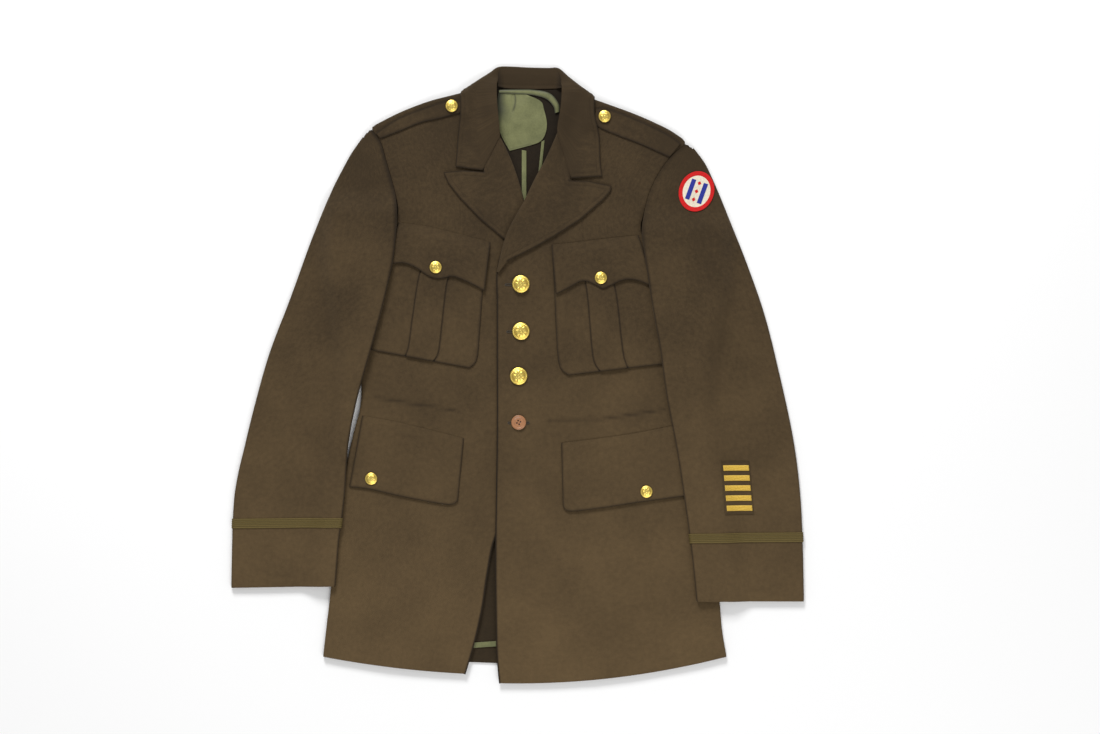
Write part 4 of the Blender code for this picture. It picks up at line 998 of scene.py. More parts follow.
notchShare = {"lapelRight": 0.465, "lapelLeft": 0.512, "collarRight": 0.557, "collarLeft": 0.585}
lapelEdge = {  # share of the roll's length, then x and y of the outer edge, from the break to the peak
    "right": [(0, 18, 147), (0.42, -18, 180), (0.6, -50, 207), (0.76, -77, 235), (0.9, -92, 254),
              (1, -98, 268)],
    "left": [(0, -14, 151), (0.14, 0, 158), (0.28, 22, 169), (0.42, 48, 184), (0.6, 82, 206),
             (0.83, 112, 232), (0.95, 121.5, 243), (1, 123, 250)],
}
lapelGorge = {  # top edge from the fold, by the notch, to the peak
    "right": [(-44, 268.4), (-72, 270.5), (-98, 268)],
    "left": [(67, 257.2), (95, 256), (123, 250)],
}
rollOver, fallBack = 3.0, 26.0
lapelStitch = 6.0  # from the free edges
gorgeTuck = {"reach": 5.0, "drop": 1.6}  # how the lapel's top runs on under the collar, up to the notch


def turnedEdge(side, share):
    return curl(1, rollLength, foldUp(side, share))[1]


def fallenBack(distance):
    return 1 - smooth(distance / fallBack)


def lapel(side):
    roll = curve(outline["roll"][side], 24)
    notch = notchShare["lapel" + side.title()]
    edgeTable = [(share, Vector((x, y))) for share, x, y in lapelEdge[side]]
    gorge = lapelGorge[side]

    @lru_cache(maxsize=None)
    def ends(b):
        fold = along(roll, b)
        neck = outward(roll, b, -way[side])
        place = next(i for i in range(1, len(edgeTable)) if edgeTable[i][0] >= b - 1e-6)
        points = [edgeTable[min(max(place + k, 0), len(edgeTable) - 1)] for k in (-2, -1, 0, 1)]
        t = (b - points[1][0]) / (points[2][0] - points[1][0])
        edge = points[1][1].lerp(points[2][1], t)
        base = frontTop(side, fold.x, fold.y) + turnedEdge(side, b * 6 / 8) + 2 * coat["seam"]
        return fold, neck, edge, base

    def face(a, b):  # a runs -1 to 0 over the roll, and to 1 at the free edge
        fold, neck, edge, base = ends(b)
        across = max(0.0, a)
        start = fold - neck * rollOver
        point = start.lerp(edge, across)
        line = start.lerp(Vector(gorge[-1]), across)
        point += (path([start] + gorge, across) - line) * max(0.0, (b - 0.45) / 0.55) ** 1.5
        resting = coat["lapelRest"] + coat["cloth"]
        away = (point - start).length
        lies = frontTop(side, point.x, point.y) + resting + (1.3 * (1 - b) if side == "left" else 0.0)
        top = base + rollOver
        excess = top - frontTop(side, fold.x, fold.y) - resting
        height = lies + excess * fallenBack(away)
        under = smooth((notch - across) / 0.03) * smooth((b - 0.96) / 0.04)
        point += (fold - along(roll, b - 0.03)).normalized() * gorgeTuck["reach"] * under
        height -= gorgeTuck["drop"] * under
        turned = max(0, -a)
        if turned:
            reach, fall = curl(turned, rollOver * math.pi / 2, math.pi / 2)
            point += neck * reach
            height = top - fall
        return Vector((point.x, point.y, height)), facing((neck, turned * math.pi / 2))

    across = [-1, -0.75, -0.5, -0.25] + lines(95, 2.4, (), hemLines)
    across = sorted(set(across) | {notch})
    down = lines(200, 2.4, (), hemLines)
    made = cloth("lapel" + side.title(), across, down, face, coat["cloth"], wool, "lapel_" + side, "wool",
                 "rt", lapelStitch, free=lambda a, b: b < 1 or a >= notch)


collarRows = {  # neck seam, fold, where it turns under, a point it heads for; width, height of fold and turn
    "right": [
        (-22, 314, -23.6, 314, -110, 257.7, -110, 250, 70, 0.0, 13.4),
        (-24, 325, -24, 326, -90, 296, -90, 290, 61.7, 2.0, 13.4),
        (-26.2, 340, -25.5, 342, -95, 318, -95, 300, 55.5, 4.5, 13.4),
        (-28, 356, -27, 357, -98, 343, -98, 320, 49.5, 5.0, 13.4),
        (-29.7, 369, -27.7, 371, -84, 368, -90, 350, 48.5, 4.0, 13.4),
        (-30, 380.5, -27.5, 384, -54.6, 388.6, -56.3, 373, 48.5, 15.5, 13.2),
        (-21, 381, -25.5, 394, -38, 399.5, -33, 366, 49, 9.0, 9.0),
        (-13, 379.2, -21, 403, -26, 407.4, -20, 358, 50.5, 7.6, 7.4),
        (-4, 378.4, -8, 404.4, -9, 408, -8, 356, 51, 7.2, 7.2),
        (14, 378.3, 14, 403.5, 14, 406.8, 14, 355, 51, 7.2, 7.2),
    ],
    "left": [
        (50, 318, 51.8, 318.2, 140, 236, 140, 230, 81, 0.0, 13.4),
        (52.3, 328, 52, 329, 118, 280, 118, 275, 70, 2.0, 13.4),
        (55, 341, 54.5, 343, 118, 311, 118, 300, 58.5, 4.5, 13.4),
        (57.8, 355, 56.5, 357, 120, 335, 120, 320, 47.5, 5.0, 13.4),
        (60, 365, 57.3, 368, 110, 361, 118, 340, 44.0, 4.0, 13.4),
        (62, 374.5, 57.5, 380, 82, 382.5, 84, 367, 47.5, 15.5, 13.2),
        (53, 379.3, 56, 391, 66.5, 395, 62, 364, 48.5, 9.0, 9.0),
        (45, 378.8, 50.8, 401.5, 53.4, 405.9, 50, 358, 50.5, 7.6, 7.4),
        (34, 378.4, 38, 402.8, 39, 406.2, 38, 355, 51, 7.2, 7.2),
        (14, 378.3, 14, 403.5, 14, 406.8, 14, 355, 51, 7.2, 7.2),
    ],
}
collarGorge = {  # front edge of the collar from its fold, by the notch, to its point
    "right": [(-23.6, 314), (-46.4, 271), (-82, 276)],
    "left": [(51.8, 318.2), (70, 261), (111, 263.5)],
}
collar = {
    "restingRows": 4.0,  # rows of the table whose leaf lies on the front
    "sewnRows": 0.16,  # share of a row over which it dips to the gorge seam
    "lipSteps": 2,
    "leafSteps": 9,
    "stations": [0, 0.5, 1, 2, 3, 4, 4.3, 4.6, 4.9, 5.2, 5.5, 5.8, 6.1, 6.5, 7, 8, 9],
    "standLow": [(-26.5, 381.5), (-12, 379.0), (14, 378.2), (40, 378.6), (57, 379)],
    "standHigh": [(-26.2, 396), (-23.0, 404), (-8, 405.4), (14, 404.4), (37, 403.9), (51, 402.4),
                  (56.2, 393)],
    "standTop": 8.6,
    "cut": (0.47, 0.075, 0.0200),
}


def loopEnd(side, x, y):
    # where the collar lies over the end of a shoulder loop
    into = (-64 - x) if side == "right" else (x - 90)
    low = 334 if side == "right" else 318
    return (coat["cloth"] + coat["rest"]) * smooth((into + 8) / 10) * smooth((y - low) / 12)


def collarStand():
    low, high = curve(collar["standLow"], 24), curve(collar["standHigh"], 24)

    def face(a, b):
        point = along(low, a).lerp(along(high, a), b)
        height = mix(coat["collarLift"] + coat["cloth"] + 0.9, collar["standTop"], smooth(b * 1.3))
        corner = smooth((abs(point.x - 15) - 33) / 9)  # where it goes up beside the leaf
        height += 5.0 * corner * (1 - 0.4 * b)
        height += 0.25 * noise.noise(Vector((point.x / 14, point.y / 9, 3.0)))
        height -= 0.4 * math.exp(-((b - 0.16) / 0.05) ** 2)  # its row of stitching
        return Vector((point.x, point.y, height)), facing()

    made = cloth("collarStand", lines(80, 2), lines(22, 1.1), face, coat["cloth"], wool, "collar_stand",
                 "wool", shade=lambda a, b: 0.75 * (smooth(1 - a / 0.13) + smooth(1 - (1 - a) / 0.13)))


def collarLeaf():
    lipSteps, leafSteps = collar["lipSteps"], collar["leafSteps"]

    def seamBase(side, x, y, station):
        share = min(1.0, 0.75 + station / 5.2 * 0.25)
        return frontTop(side, x, y) + turnedEdge(side, share) + 2 * coat["seam"]

    def settled(side):
        rows = [list(row) for row in collarRows[side]]
        for station, row in enumerate(rows[:5]):
            row[9] += seamBase(side, row[0], row[1], station) + rollOver
        return rows

    table = settled("right")[:-1] + settled("left")[::-1]
    last = len(table) - 1
    coarse = collar["stations"]
    coarse = coarse + [last - place for place in reversed(coarse[:-1])]
    stations = []
    for low, high in zip(coarse, coarse[1:]):
        parts = max(2, round((high - low) * 7))
        stations += [mix(low, high, i / parts) for i in range(parts)]
    stations += [last]
    near = [0.05, 0.12, 0.2, 0.26, 0.32, 0.4]  # close lines by the front edges
    stations = sorted(set(stations) | set(near) | {last - place for place in near})
    stations = [s for i, s in enumerate(stations) if i == 0 or s - stations[i - 1] > 0.02]

    @lru_cache(maxsize=None)
    def rowAt(place):
        i = min(int(place), last - 1)
        t = place - i
        p0, p1, p2, p3 = table[max(i - 1, 0)], table[i], table[i + 1], table[min(i + 2, last)]
        return [bend(*q, t) for q in zip(p0, p1, p2, p3)]

    def face(a, place):
        nx, ny, fx, fy, sx, sy, ux, uy, width, crest, turnHeight = rowAt(place)
        side = "right" if place < last / 2 else "left"
        station = min(place, last - place)  # 0 at either front end, 9 at the centre back
        fold, turnAt, heads = Vector((fx, fy)), Vector((sx, sy)), Vector((ux, uy))
        onFront = 1 - smooth((station - collar["restingRows"]) / 1.0)
        base = seamBase(side, nx, ny, station)
        radius = turnHeight / 2
        toFold = turnAt - fold
        distance = toFold.length
        ahead = toFold / distance
        under = (heads - turnAt).normalized()
        if a <= lipSteps:
            drop = mix(90, 0, smooth((station - 5) / 1.8))
            tall = mix(crest - base, 3.0, smooth((station - 4.4) / 1.6))
            length = max(0.0, tall - a * max(coat["cloth"] + 0.3, tall / 2)) if a < lipSteps else 0.0
            inward = Vector((-way[side], 0.35)).lerp(-ahead, smooth(station / 2)).normalized()
            point = fold + inward * length * math.cos(math.radians(drop))
            down = length * math.sin(math.radians(drop))
            lean = math.radians(drop) * mix(0.98, 0.5, smooth((a - lipSteps + 1) / 1))
            return Vector((point.x, point.y, crest - down)), facing((inward, lean))
        level = distance - radius
        notch = notchShare["collar" + side.title()] * width
        marks = [0, min(level, notch), min(level + math.pi * radius, 0.94 * width), width]
        step = (a - lipSteps) / leafSteps * 3
        part = min(int(step), 2)
        travelled = mix(marks[part], marks[part + 1], step - part)
        if travelled <= level:
            point = fold + ahead * travelled
            if station < 3:
                gorge = [Vector(p) for p in collarGorge[side]]
                across = travelled / width
                bow = path(gorge, across) - gorge[0].lerp(gorge[-1], across)
                point += bow * max(0.0, 1 - station / 3) ** 1.6
            resting = coat["lapelRest"] + coat["cloth"]
            lies = frontTop(side, point.x, point.y) + resting + loopEnd(side, point.x, point.y)
            excess = crest - (frontTop(side, fold.x, fold.y) + resting)
            restingHeight = lies + excess * fallenBack(travelled)
            if station < collar["sewnRows"] and travelled < notch:  # sewn down on the lapel
                near = 1 - smooth(station / collar["sewnRows"])
                restingHeight -= 0.8 * near * smooth((notch - travelled) / 4)
            turning = mix(crest, turnHeight, smooth(travelled / max(level, 1)))
            return Vector((point.x, point.y, mix(turning, restingHeight, onFront))), facing()
        beyond = travelled - level
        if beyond < math.pi * radius:
            angle = beyond / radius
            if angle < math.pi / 2:
                point, wayOut = fold + ahead * (level + radius * math.sin(angle)), ahead
            else:
                point, wayOut = turnAt + under * radius * (1 - math.sin(angle)), -under
            looks = Vector((wayOut.x * math.sin(angle), wayOut.y * math.sin(angle), math.cos(angle)))
            return Vector((point.x, point.y, turnHeight - radius * (1 - math.cos(angle)))), looks
        point = turnAt + under * (radius + beyond - math.pi * radius)
        return Vector((point.x, point.y, 0.0)), Vector((0, 0, -1))

    across = [0, 0.5, 1, 1.5, 2, 2.15, 2.3] + [2 + 9 * i / 44 for i in range(3, 41)] \
        + [10.4, 10.55, 10.66, 10.76, 10.86, 11]
    made = cloth("collarLeaf", across, stations, face, coat["cloth"], wool, "collar_leaf", "wool",
                 "rtb", lapelStitch, free=lambda a, b: a >= lipSteps + leafSteps / 3)


lapel("right")
lapel("left")
collarLeaf()
collarStand()


# Pieces laid on the panels
print("pockets, flaps and loops")

thin, braidThick, pleat = 0.8, 1.0, 1.6


def laid(name, first, last, columns, rows, height, thickness, finish, node, slotName, edges="", sewn=0.0,
         round_=0.5, dark=None, shade=None):
    # a sheet between two edges; columns and rows are shares, and height(x, y, u, v) is its top
    first, last = curve(first, 72), curve(last, 72)

    def face(a, b):
        point = along(first, a).lerp(along(last, a), b)
        return Vector((point.x, point.y, height(point.x, point.y, a, b))), facing()

    return cloth(name, columns, rows, face, thickness, finish, node, slotName, edges, sewn, round_, dark=dark,
                 shade=shade)


def restOn(side):
    return coat["rest"] + (0.55 if side == "left" else 0.0)


pocketRows = {  # left and right ends of rows from the top of the pocket to its rounded foot
    "right": ([(-158, 182), (-175, 140), (-186, 85), (-192, 45), (-193, 34)],
              [(-38, 158), (-46, 112), (-50, 61), (-54, 22), (-64, 10.5)]),
    "left": ([(45, 155), (48, 107), (50, 61), (54, 15), (66, 1)],
             [(160, 168), (181, 115), (190, 60), (195, 26), (195, 16)]),
}
pleatLines = {"right": (0.352, 0.628), "left": (0.332, 0.604)}  # shares of the width


def breastPocket(side):
    low, high = pleatLines[side]
    step = 0.006
    across = sorted(set(lines(140, 2.6, hemLines, hemLines))
                    | {edge + k * step for edge in (low, high) for k in (-3, -2, -1, -0.4, 0.4, 1, 2, 3)})
    lefts, rights = pocketRows[side]

    def height(x, y, v, u):
        out = smooth((u - low) / step * 0.5 + 0.5) * smooth((high - u) / step * 0.5 + 0.5)
        fold = math.exp(-((u - low) / 0.01) ** 2) + math.exp(-((u - high) / 0.01) ** 2)
        puff = 0.5 * math.sin(math.pi * u) * math.sin(math.pi * v)
        flat = frontTop(side, x, y) + restOn(side) + coat["cloth"]
        return flat + pleat * out - 0.25 * fold * (1 - out) + puff

    def shade(v, u):  # beside the pleat's folds
        beside = [(u - low + step) / 0.008, (u - high - step) / 0.008]
        return 0.75 * sum(math.exp(-away ** 2) for away in beside)

    made = laid("breastPocket" + side.title(), lefts, rights, lines(160, 2.6, (), hemLines), across, height,
                coat["cloth"], wool, "breast_pocket_" + side, "wool", "rbt", 2.0, shade=shade)


flapEdges = {  # top and scalloped foot of the breast flaps
    "right": ([(-157.5, 202), (-124, 198), (-77, 187), (-36, 176)],
              [(-174, 143), (-162, 148), (-148, 148), (-132, 141), (-119, 132), (-107, 128), (-96, 129),
               (-87, 131), (-74, 127), (-57, 119), (-44, 112)]),
    "left": ([(44, 173), (75, 176), (108, 180), (135, 183), (159, 185.5)],
             [(50, 107), (69, 117), (82, 124), (92, 124), (103, 119), (112, 115), (124, 120), (135, 125),
              (148, 127), (162, 124), (179, 116)]),
}


def breastFlapTop(side, x, y, down=1.0):
    overPocket = (coat["cloth"] + coat["rest"] + pleat) * smooth(down / 0.3)
    return frontTop(side, x, y) + restOn(side) + coat["cloth"] + overPocket


sewnDown = 1.5  # of a flap's upper edge
flapStitch = 1.8  # from the flap's edge


def breastFlap(side):
    top, foot = flapEdges[side]

    def height(x, y, u, v):
        dish = 0.5 * math.sin(math.pi * u) * smooth(v / 0.5)
        return breastFlapTop(side, x, y, v) + dish - sewnDown * (1 - smooth(v / 0.12))

    made = laid("breastFlap" + side.title(), top, foot, lines(130, 2.0, cuffLines, cuffLines),
                lines(62, 1.8, (1, 2), cuffLines), height, coat["cloth"], wool, "breast_flap_" + side, "wool",
                "ltr", flapStitch)


hipEdges = {
    "right": ([(-205, -52), (-156, -61), (-103, -74), (-71, -82)],
              [(-222, -146), (-195, -149), (-156, -158), (-103, -168), (-86, -169), (-79, -164)]),
    "left": ([(57, -88), (108, -82), (161, -74), (216, -63)],
             [(59, -171), (68, -178), (108, -174), (161, -166), (228, -157)]),
}


def hipFlapTop(side, x, y):
    return frontTop(side, x, y) + restOn(side) + coat["cloth"]


def hipFlap(side):
    top, foot = hipEdges[side]

    def height(x, y, u, v):
        dish = 0.45 * math.sin(math.pi * u) * smooth(v / 0.5) + 0.35 * smooth((v - 0.7) / 0.3)
        return hipFlapTop(side, x, y) + dish - sewnDown * (1 - smooth(v / 0.09))

    made = laid("hipFlap" + side.title(), top, foot, lines(160, 2.4, cuffLines, cuffLines),
                lines(92, 2.4, (1, 2, 3), cuffLines), height, coat["cloth"], wool, "hip_flap_" + side, "wool",
                "ltr", flapStitch)


loopEdges = {  # from the sleeve seam to under the collar
    "right": ([(-187, 320), (-156, 340), (-116, 355), (-86, 364), (-74, 360)],
              [(-181, 312.5), (-156, 322), (-129, 333), (-103, 339), (-72, 347)]),
    "left": ([(214, 306), (198, 317.5), (160, 336), (118, 352), (103, 352)],
             [(199, 288), (161, 305), (135, 315), (108, 326.5), (100, 335)]),
}


def loopTop(side, x, y):
    return frontTop(side, x, y) + coat["rest"] + coat["cloth"]


def shoulderLoop(side):
    upper, lower = loopEdges[side]
    made = laid("shoulderLoop" + side.title(), upper, lower, lines(125, 2.2),
                lines(26, 1.2, (0.9, 1.8), (0.9, 1.8)), lambda x, y, u, v: loopTop(side, x, y), coat["cloth"],
                wool, "shoulder_loop_" + side, "wool", "bt", 2.0)


breastPocket("right")
breastPocket("left")
breastFlap("right")
breastFlap("left")
hipFlap("right")
hipFlap("left")
shoulderLoop("right")
shoulderLoop("left")

print("braid, bars and patch")
braidRows = {"right": (2.5, 2.91), "left": (2.52, 2.93)}  # on the rows of the sleeve


def cuffBraid(side):
    sleeve, _ = sleeveTopFace(side)
    cords = braidLook["cords"]

    def face(a, b):
        point, looks = sleeve(a, mix(*braidRows[side], b))
        cord = abs(math.sin(math.pi * cords * b)) ** 0.6
        return point + looks * (0.25 + braidThick * (0.55 + 0.55 * cord)), looks

    across = foldLines + lines(130, 1.6) + farFoldLines
    down = [i / (cords * 6) for i in range(cords * 6 + 1)]
    made = cloth("cuffBraid" + side.title(), across, down, face, braidThick * 0.6, braid,
                 "cuff_braid_" + side, "braid", round_=0)


cuffBraid("right")
cuffBraid("left")


def surfaceOf(face, last, columns, rows):
    # the height of a laid panel at any x and y, from its own points up to its last row
    found, tree = [], kdtree.KDTree((columns + 1) * (rows + 1))
    for i in range(columns + 1):
        for j in range(rows + 1):
            point, _ = face(mix(0.02, 0.98, i / columns), j / rows * last)
            tree.insert((point.x, point.y, 0), len(found))
            found.append(point.z)
    tree.balance()

    def height(x, y):
        total = weight = 0.0
        for _, index, distance in tree.find_n((x, y, 0), 4):
            share = 1 / (distance + 0.05) ** 2
            total, weight = total + found[index] * share, weight + share
        return total / weight

    return height


leftSleeve = surfaceOf(*sleeveTopFace("left"), 60, 240)


barLook = {
    "count": 5,
    "first": (269.6, -117.3),  # upper end of the first bar, nearest the front
    "step": (1.1, -13.2),
    "size": (34, 7.2),
    "lean": 0.7,  # of each bar's ends, with the sleeve
    "wire": 1.1,
}


def serviceBars():
    backing = laid("serviceBarBacking", [(267, -112), (305, -112)], [(272, -182), (311, -182)],
                   lines(38, 1.2), lines(70, 1.6), lambda x, y, u, v: leftSleeve(x, y) + 1.5, 0.9,
                   woolBacking, "service_bar_backing", "wool", "lrtb", 1.5, 0.3, dark="")
    long, tall = barLook["size"]
    lean = barLook["lean"]
    for number in range(barLook["count"]):
        x, y = (start + number * step for start, step in zip(barLook["first"], barLook["step"]))

        def height(px, py, u, v):
            crown = max(0.0, math.sin(math.pi * v)) ** 0.35 * smooth(min(u, 1 - u) / 0.03)
            wires = 0.12 * math.sin(u * 35 / barLook["wire"] * 2 * math.pi + v * 2)
            return leftSleeve(px, py) + 2.1 + (0.8 + wires) * crown

        upper, lower = [(x, y), (x + long, y)], [(x + lean, y - tall), (x + lean + long, y - tall)]
        laid(f"serviceBar{number + 1}", upper, lower, lines(long, 0.3), lines(tall, 0.9), height,
                         0.6, gold, f"service_bar_{number + 1}", "gold_thread", round_=0)


serviceBars()

patch = {
    "centre": (235, 243),
    "size": (46, 54),
    "turn": math.radians(-20),
    "border": 0.22,  # share of the way from the edge to the middle
    "barAt": 0.36,  # the two bars, in shares of the half width and height
    "red": (0.55, 0.008, 0.008),
    "cream": (0.72, 0.66, 0.52),
    "blue": (0.020, 0.030, 0.26),
}


def patchMaterial():
    made, nodes, shader = material("patchThreads", 0.7, Specular_IOR_Level=0.25)
    weave = nodes.node("ShaderNodeUVMap", {"uv_map": "face"})
    x, y = weave.part(0), weave.part(1)
    border = nodes.mark("reach") > 1 - patch["border"]
    bars = ((x.size() - patch["barAt"]).size() < 0.13) * (y.size() < 0.52)
    rowOfLozenges = (((y * (math.pi / 0.42)).sine().size() * 0.2) + x.size() * 1.3) < 0.155
    lozenges = rowOfLozenges * (y.size() < 0.58)
    threads = ((x * 1.0 + y * 0.35) * 150.0).sine() * 0.5 + 0.5
    cloud = weave.cloud(9.0, 4.0)
    shade = (threads * 0.35 + cloud * 0.8 + 0.15).held()
    red, cream, blue = (shade.dyed([c * 0.45 for c in patch[name]], [min(1, c * 1.25) for c in patch[name]])
                        for name in ("red", "cream", "blue"))
    colour = border.blend(lozenges.blend(bars.blend(cream, blue), red), red)
    join(nodes, shader, colour, None, threads + cloud * 0.5, 0.6, 0.00025)
    return made


def sleevePatch():
    turn = Matrix.Rotation(patch["turn"], 2)
    width, tall = patch["size"]

    def disc(u, v):
        return Vector((u * math.sqrt(1 - v * v / 2), v * math.sqrt(1 - u * u / 2)))

    def face(a, b):
        spot = disc(a, b)
        reach = spot.length
        raised = 0.55 * smooth((reach - (1 - patch["border"])) / 0.04) * smooth((1 - reach) / 0.05 + 0.35)
        beside = abs(abs(spot.x) - patch["barAt"])
        onBar = smooth((0.14 - beside) / 0.03) * smooth((0.53 - abs(spot.y)) / 0.03)
        point = Vector(patch["centre"]) + turn @ Vector((spot.x * width / 2, spot.y * tall / 2))
        height = leftSleeve(point.x, point.y) + 1.35 + raised + 0.3 * onBar
        return Vector((point.x, point.y, height)), facing()

    places = [i / 42 - 1 for i in range(85)]
    made = cloth("sleevePatch", places, places, face, 0.9, patchMaterial(), "sleeve_patch", "patch_red",
                 round_=0)
    layer = made.data.uv_layers.new(name="face")
    reach = made.data.attributes.new("reach", "FLOAT", "POINT")
    back = turn.inverted()
    spotOf = {}
    for vert in made.data.vertices:
        away = vert.co / metre - middle - Vector((*patch["centre"], 0))
        spot = back @ Vector((away.x, away.y))
        spotOf[vert.index] = Vector((spot.x / width * 2, spot.y / tall * 2))
        reach.data[vert.index].value = spotOf[vert.index].length
    for loop in made.data.loops:
        layer.data[loop.index].uv = spotOf[loop.vertex_index]


sleevePatch()

print("linings")


def insideTop(x, y, layers=1):
    return lift(x, y) + coat["cloth"] + layers * (thin + 0.55)


def liningHeight(x, y, layers=1):
    return insideTop(x, y, layers) + 0.35 * noise.noise(Vector((x / 13, y / 17, 4.0))) \
        + 0.2 * noise.noise(Vector((x / 5, y / 9, 1.0)))


def linings():
    def creased(x, y, u, v):
        return liningHeight(x, y) - 0.9 * math.exp(-((x + 7) / 0.9) ** 2) * smooth((y - 344) / 6)

    def crowned(x, y, u, v):
        return liningHeight(x, y) + 0.3 * math.exp(-((u - 0.5) / 0.3) ** 2)

    def shade(u, v):  # under the collar's fold, and in the pleat at the neck
        pleated = math.exp(-((v - 0.97 * u + 0.25) / 0.022) ** 2) * smooth((u - 0.6) / 0.05)
        return 0.9 * (1 - smooth((v - 0.06) / 0.3)) * smooth((u - 0.4) / 0.3) + 0.8 * pleated

    neck = laid("neckLining", [(-11, 297), (-24, 322), (-29, 350), (-25, 375.5)],
                [(16, 304), (29, 309), (36, 319), (38, 334), (34, 352), (30, 362), (12, 370.5), (0, 375.5)],
                lines(80, 1.6, (0.8, 1.6), (0.8, 1.6)), lines(55, 1.6, (0.8, 1.6), (0.8, 1.6)), creased,
                thin, lining, "neck_lining", "lining", "lrb", 1.6, 0.2, dark="", shade=shade)
    band = laid("neckBand", [(-25, 377), (0, 377.4), (22, 377), (42, 372.5), (53.5, 359), (54.5, 348)],
                [(-25, 372.5), (0, 371.5), (20, 370), (37, 365), (46.5, 355), (48.5, 346)],
                lines(95, 1.5), lines(6, 0.9, (0.6,), (0.6,)),
                lambda x, y, u, v: liningHeight(x, y, 2) + 0.5 * math.sin(u * 9), thin, lining, "neck_band",
                "lining", "tb", 1.2, 0.2)
    for name, first, last, node in [
            ("seamTapeRight", [(5, 298), (11, 297)], [(5, 226), (11, 226)], "seam_tape_right"),
            ("seamTapeLeft", [(31, 309), (35, 311)], [(27, 270), (31, 270)], "seam_tape_left"),
            ("hemTape", [(-66, -352), (8, -347)], [(-66, -359), (8, -354)], "hem_tape")]:
        long = name == "hemTape"
        laid(name, first, last, lines(74, 2) if long else lines(6, 0.8),
                          lines(7, 1) if long else lines(60, 2), crowned, thin, lining, node, "lining",
                          round_=0.2)


linings()


# Buttons
print("buttons")

buttons = {
    "bigSize": 22.9,  # 36 ligne
    "smallSize": 15.9,  # 25 ligne
    "waistSize": 19.5,
    "big": [(4, 121, 1.3), (4, 59, 0.2), (1, 0, 0.2)],
    "waist": (1, -61),
    "small": {  # breast, hip and shoulder
        "right": [(-108, 143), (-193, -135), (-87, 355)],
        "left": [(109, 129), (169, -152), (114, 341.5)],
    },
    "petals": 8,
}
dome = [  # share of the radius, and height on the big size
    (0.0, -0.2), (0.5, -0.1), (0.72, 0), (0.9, 0.35), (0.97, 0.8), (1, 1.3), (0.985, 1.75), (0.94, 2.05),
    (0.90, 2.1), (0.87, 2.0), (0.85, 2.15), (0.8, 2.55), (0.7, 3.1), (0.55, 3.65), (0.4, 4.0), (0.25, 4.2),
    (0.1, 4.3), (0.0, 4.32),
]


def turned(name, profile, size, x, y, z, segments, relief, finish, node, slotName, fine=3):
    # a button spun from its half section, then raised by relief(radius share, angle)
    bm = bmesh.new()
    points = []
    for (a, b), (c, d) in zip(profile, profile[1:]):
        points += [(mix(a, c, k / fine), mix(b, d, k / fine)) for k in range(fine)]
    points.append(profile[-1])
    scale = size / buttons["bigSize"]
    ring = [bm.verts.new((share * size / 2, 0, high * scale)) for share, high in points]
    for a, b in zip(ring, ring[1:]):
        bm.edges.new((a, b))
    bmesh.ops.spin(bm, geom=bm.verts[:] + bm.edges[:], axis=(0, 0, 1), cent=(0, 0, 0), angle=2 * math.pi,
                   steps=segments, use_merge=True)
    bmesh.ops.remove_doubles(bm, verts=bm.verts, dist=0.0005 * size)
    bmesh.ops.recalc_face_normals(bm, faces=bm.faces)
    mark = bm.verts.layers.float.new("relief")
    for vert in bm.verts:
        reach = math.hypot(vert.co.x, vert.co.y) / (size / 2)
        raised = relief(reach, math.atan2(vert.co.y, vert.co.x)) if vert.co.z > 1.2 * scale else 0.0
        vert.co.z += raised * scale
        vert[mark] = smooth(0.5 + raised * 1.6)
    bmesh.ops.translate(bm, vec=(x, y, z), verts=bm.verts)
    made = addPiece(name, bm, finish, node, slotName, 60)
    return made


def rosette(reach, angle):
    # a plain rosette in a ring of beads
    petals = buttons["petals"]
    if reach > 0.93:
        return 0.0
    if reach > 0.80:
        beads = abs(math.sin(angle * 20))
        return 0.34 * beads * math.sin(math.pi * (reach - 0.80) / 0.13)
    if reach > 0.72:
        return -0.10
    leaf = abs(math.cos(angle * petals / 2)) ** 0.7
    body = smooth((0.70 * (0.45 + 0.55 * leaf) - reach) / 0.08) * smooth((reach - 0.14) / 0.1)
    ridge = (1 - abs(math.cos(angle * petals / 2))) / 0.004
    vein = 0.5 * math.exp(-ridge ** 2) * smooth((reach - 0.2) / 0.1)
    heart = smooth((0.17 - reach) / 0.05)
    return 0.42 * body - 0.12 * vein * body + 0.5 * heart - 0.08


def brassButton(name, x, y, z, size, node):
    segments = 160 if size == buttons["bigSize"] else 128
    turned(name, dome, size, x, y, z + 0.45, segments, rosette, brass, node, "brass")


for number, (x, y, room) in enumerate(buttons["big"]):
    brassButton(f"frontButton{number + 1}", x, y, frontTop("left", x, y) + room, buttons["bigSize"],
                f"front_button_{number + 1}")
under = {"breast": breastFlapTop, "hip": hipFlapTop, "shoulder": loopTop}
for side, places in buttons["small"].items():
    for (name, top), (x, y) in zip(under.items(), places):
        brassButton(f"{name}Button{side.title()}", x, y, top(side, x, y) + 0.4, buttons["smallSize"],
                    f"{name}_button_{side}")

hornProfile = [
    (0.0, 0.0), (0.6, 0.0), (0.8, 0.1), (0.95, 0.5), (1.0, 1.2), (0.99, 2.0), (0.94, 2.7), (0.86, 3.05),
    (0.76, 2.95), (0.66, 2.5), (0.58, 2.25), (0.4, 2.2), (0.3, 2.2), (0.2, 2.2), (0.1, 2.2), (0.0, 2.2),
]
hornHoles = [(1.7, 1.7), (-1.7, 1.7), (1.7, -1.7), (-1.7, -1.7)]


def holes(reach, angle):
    away = reach * buttons["waistSize"] / 2
    x, y = away * math.cos(angle + 0.5), away * math.sin(angle + 0.5)
    depth = sum(smooth((1.15 - math.hypot(x - hx, y - hy)) / 0.35) for hx, hy in hornHoles)
    return -1.3 * depth


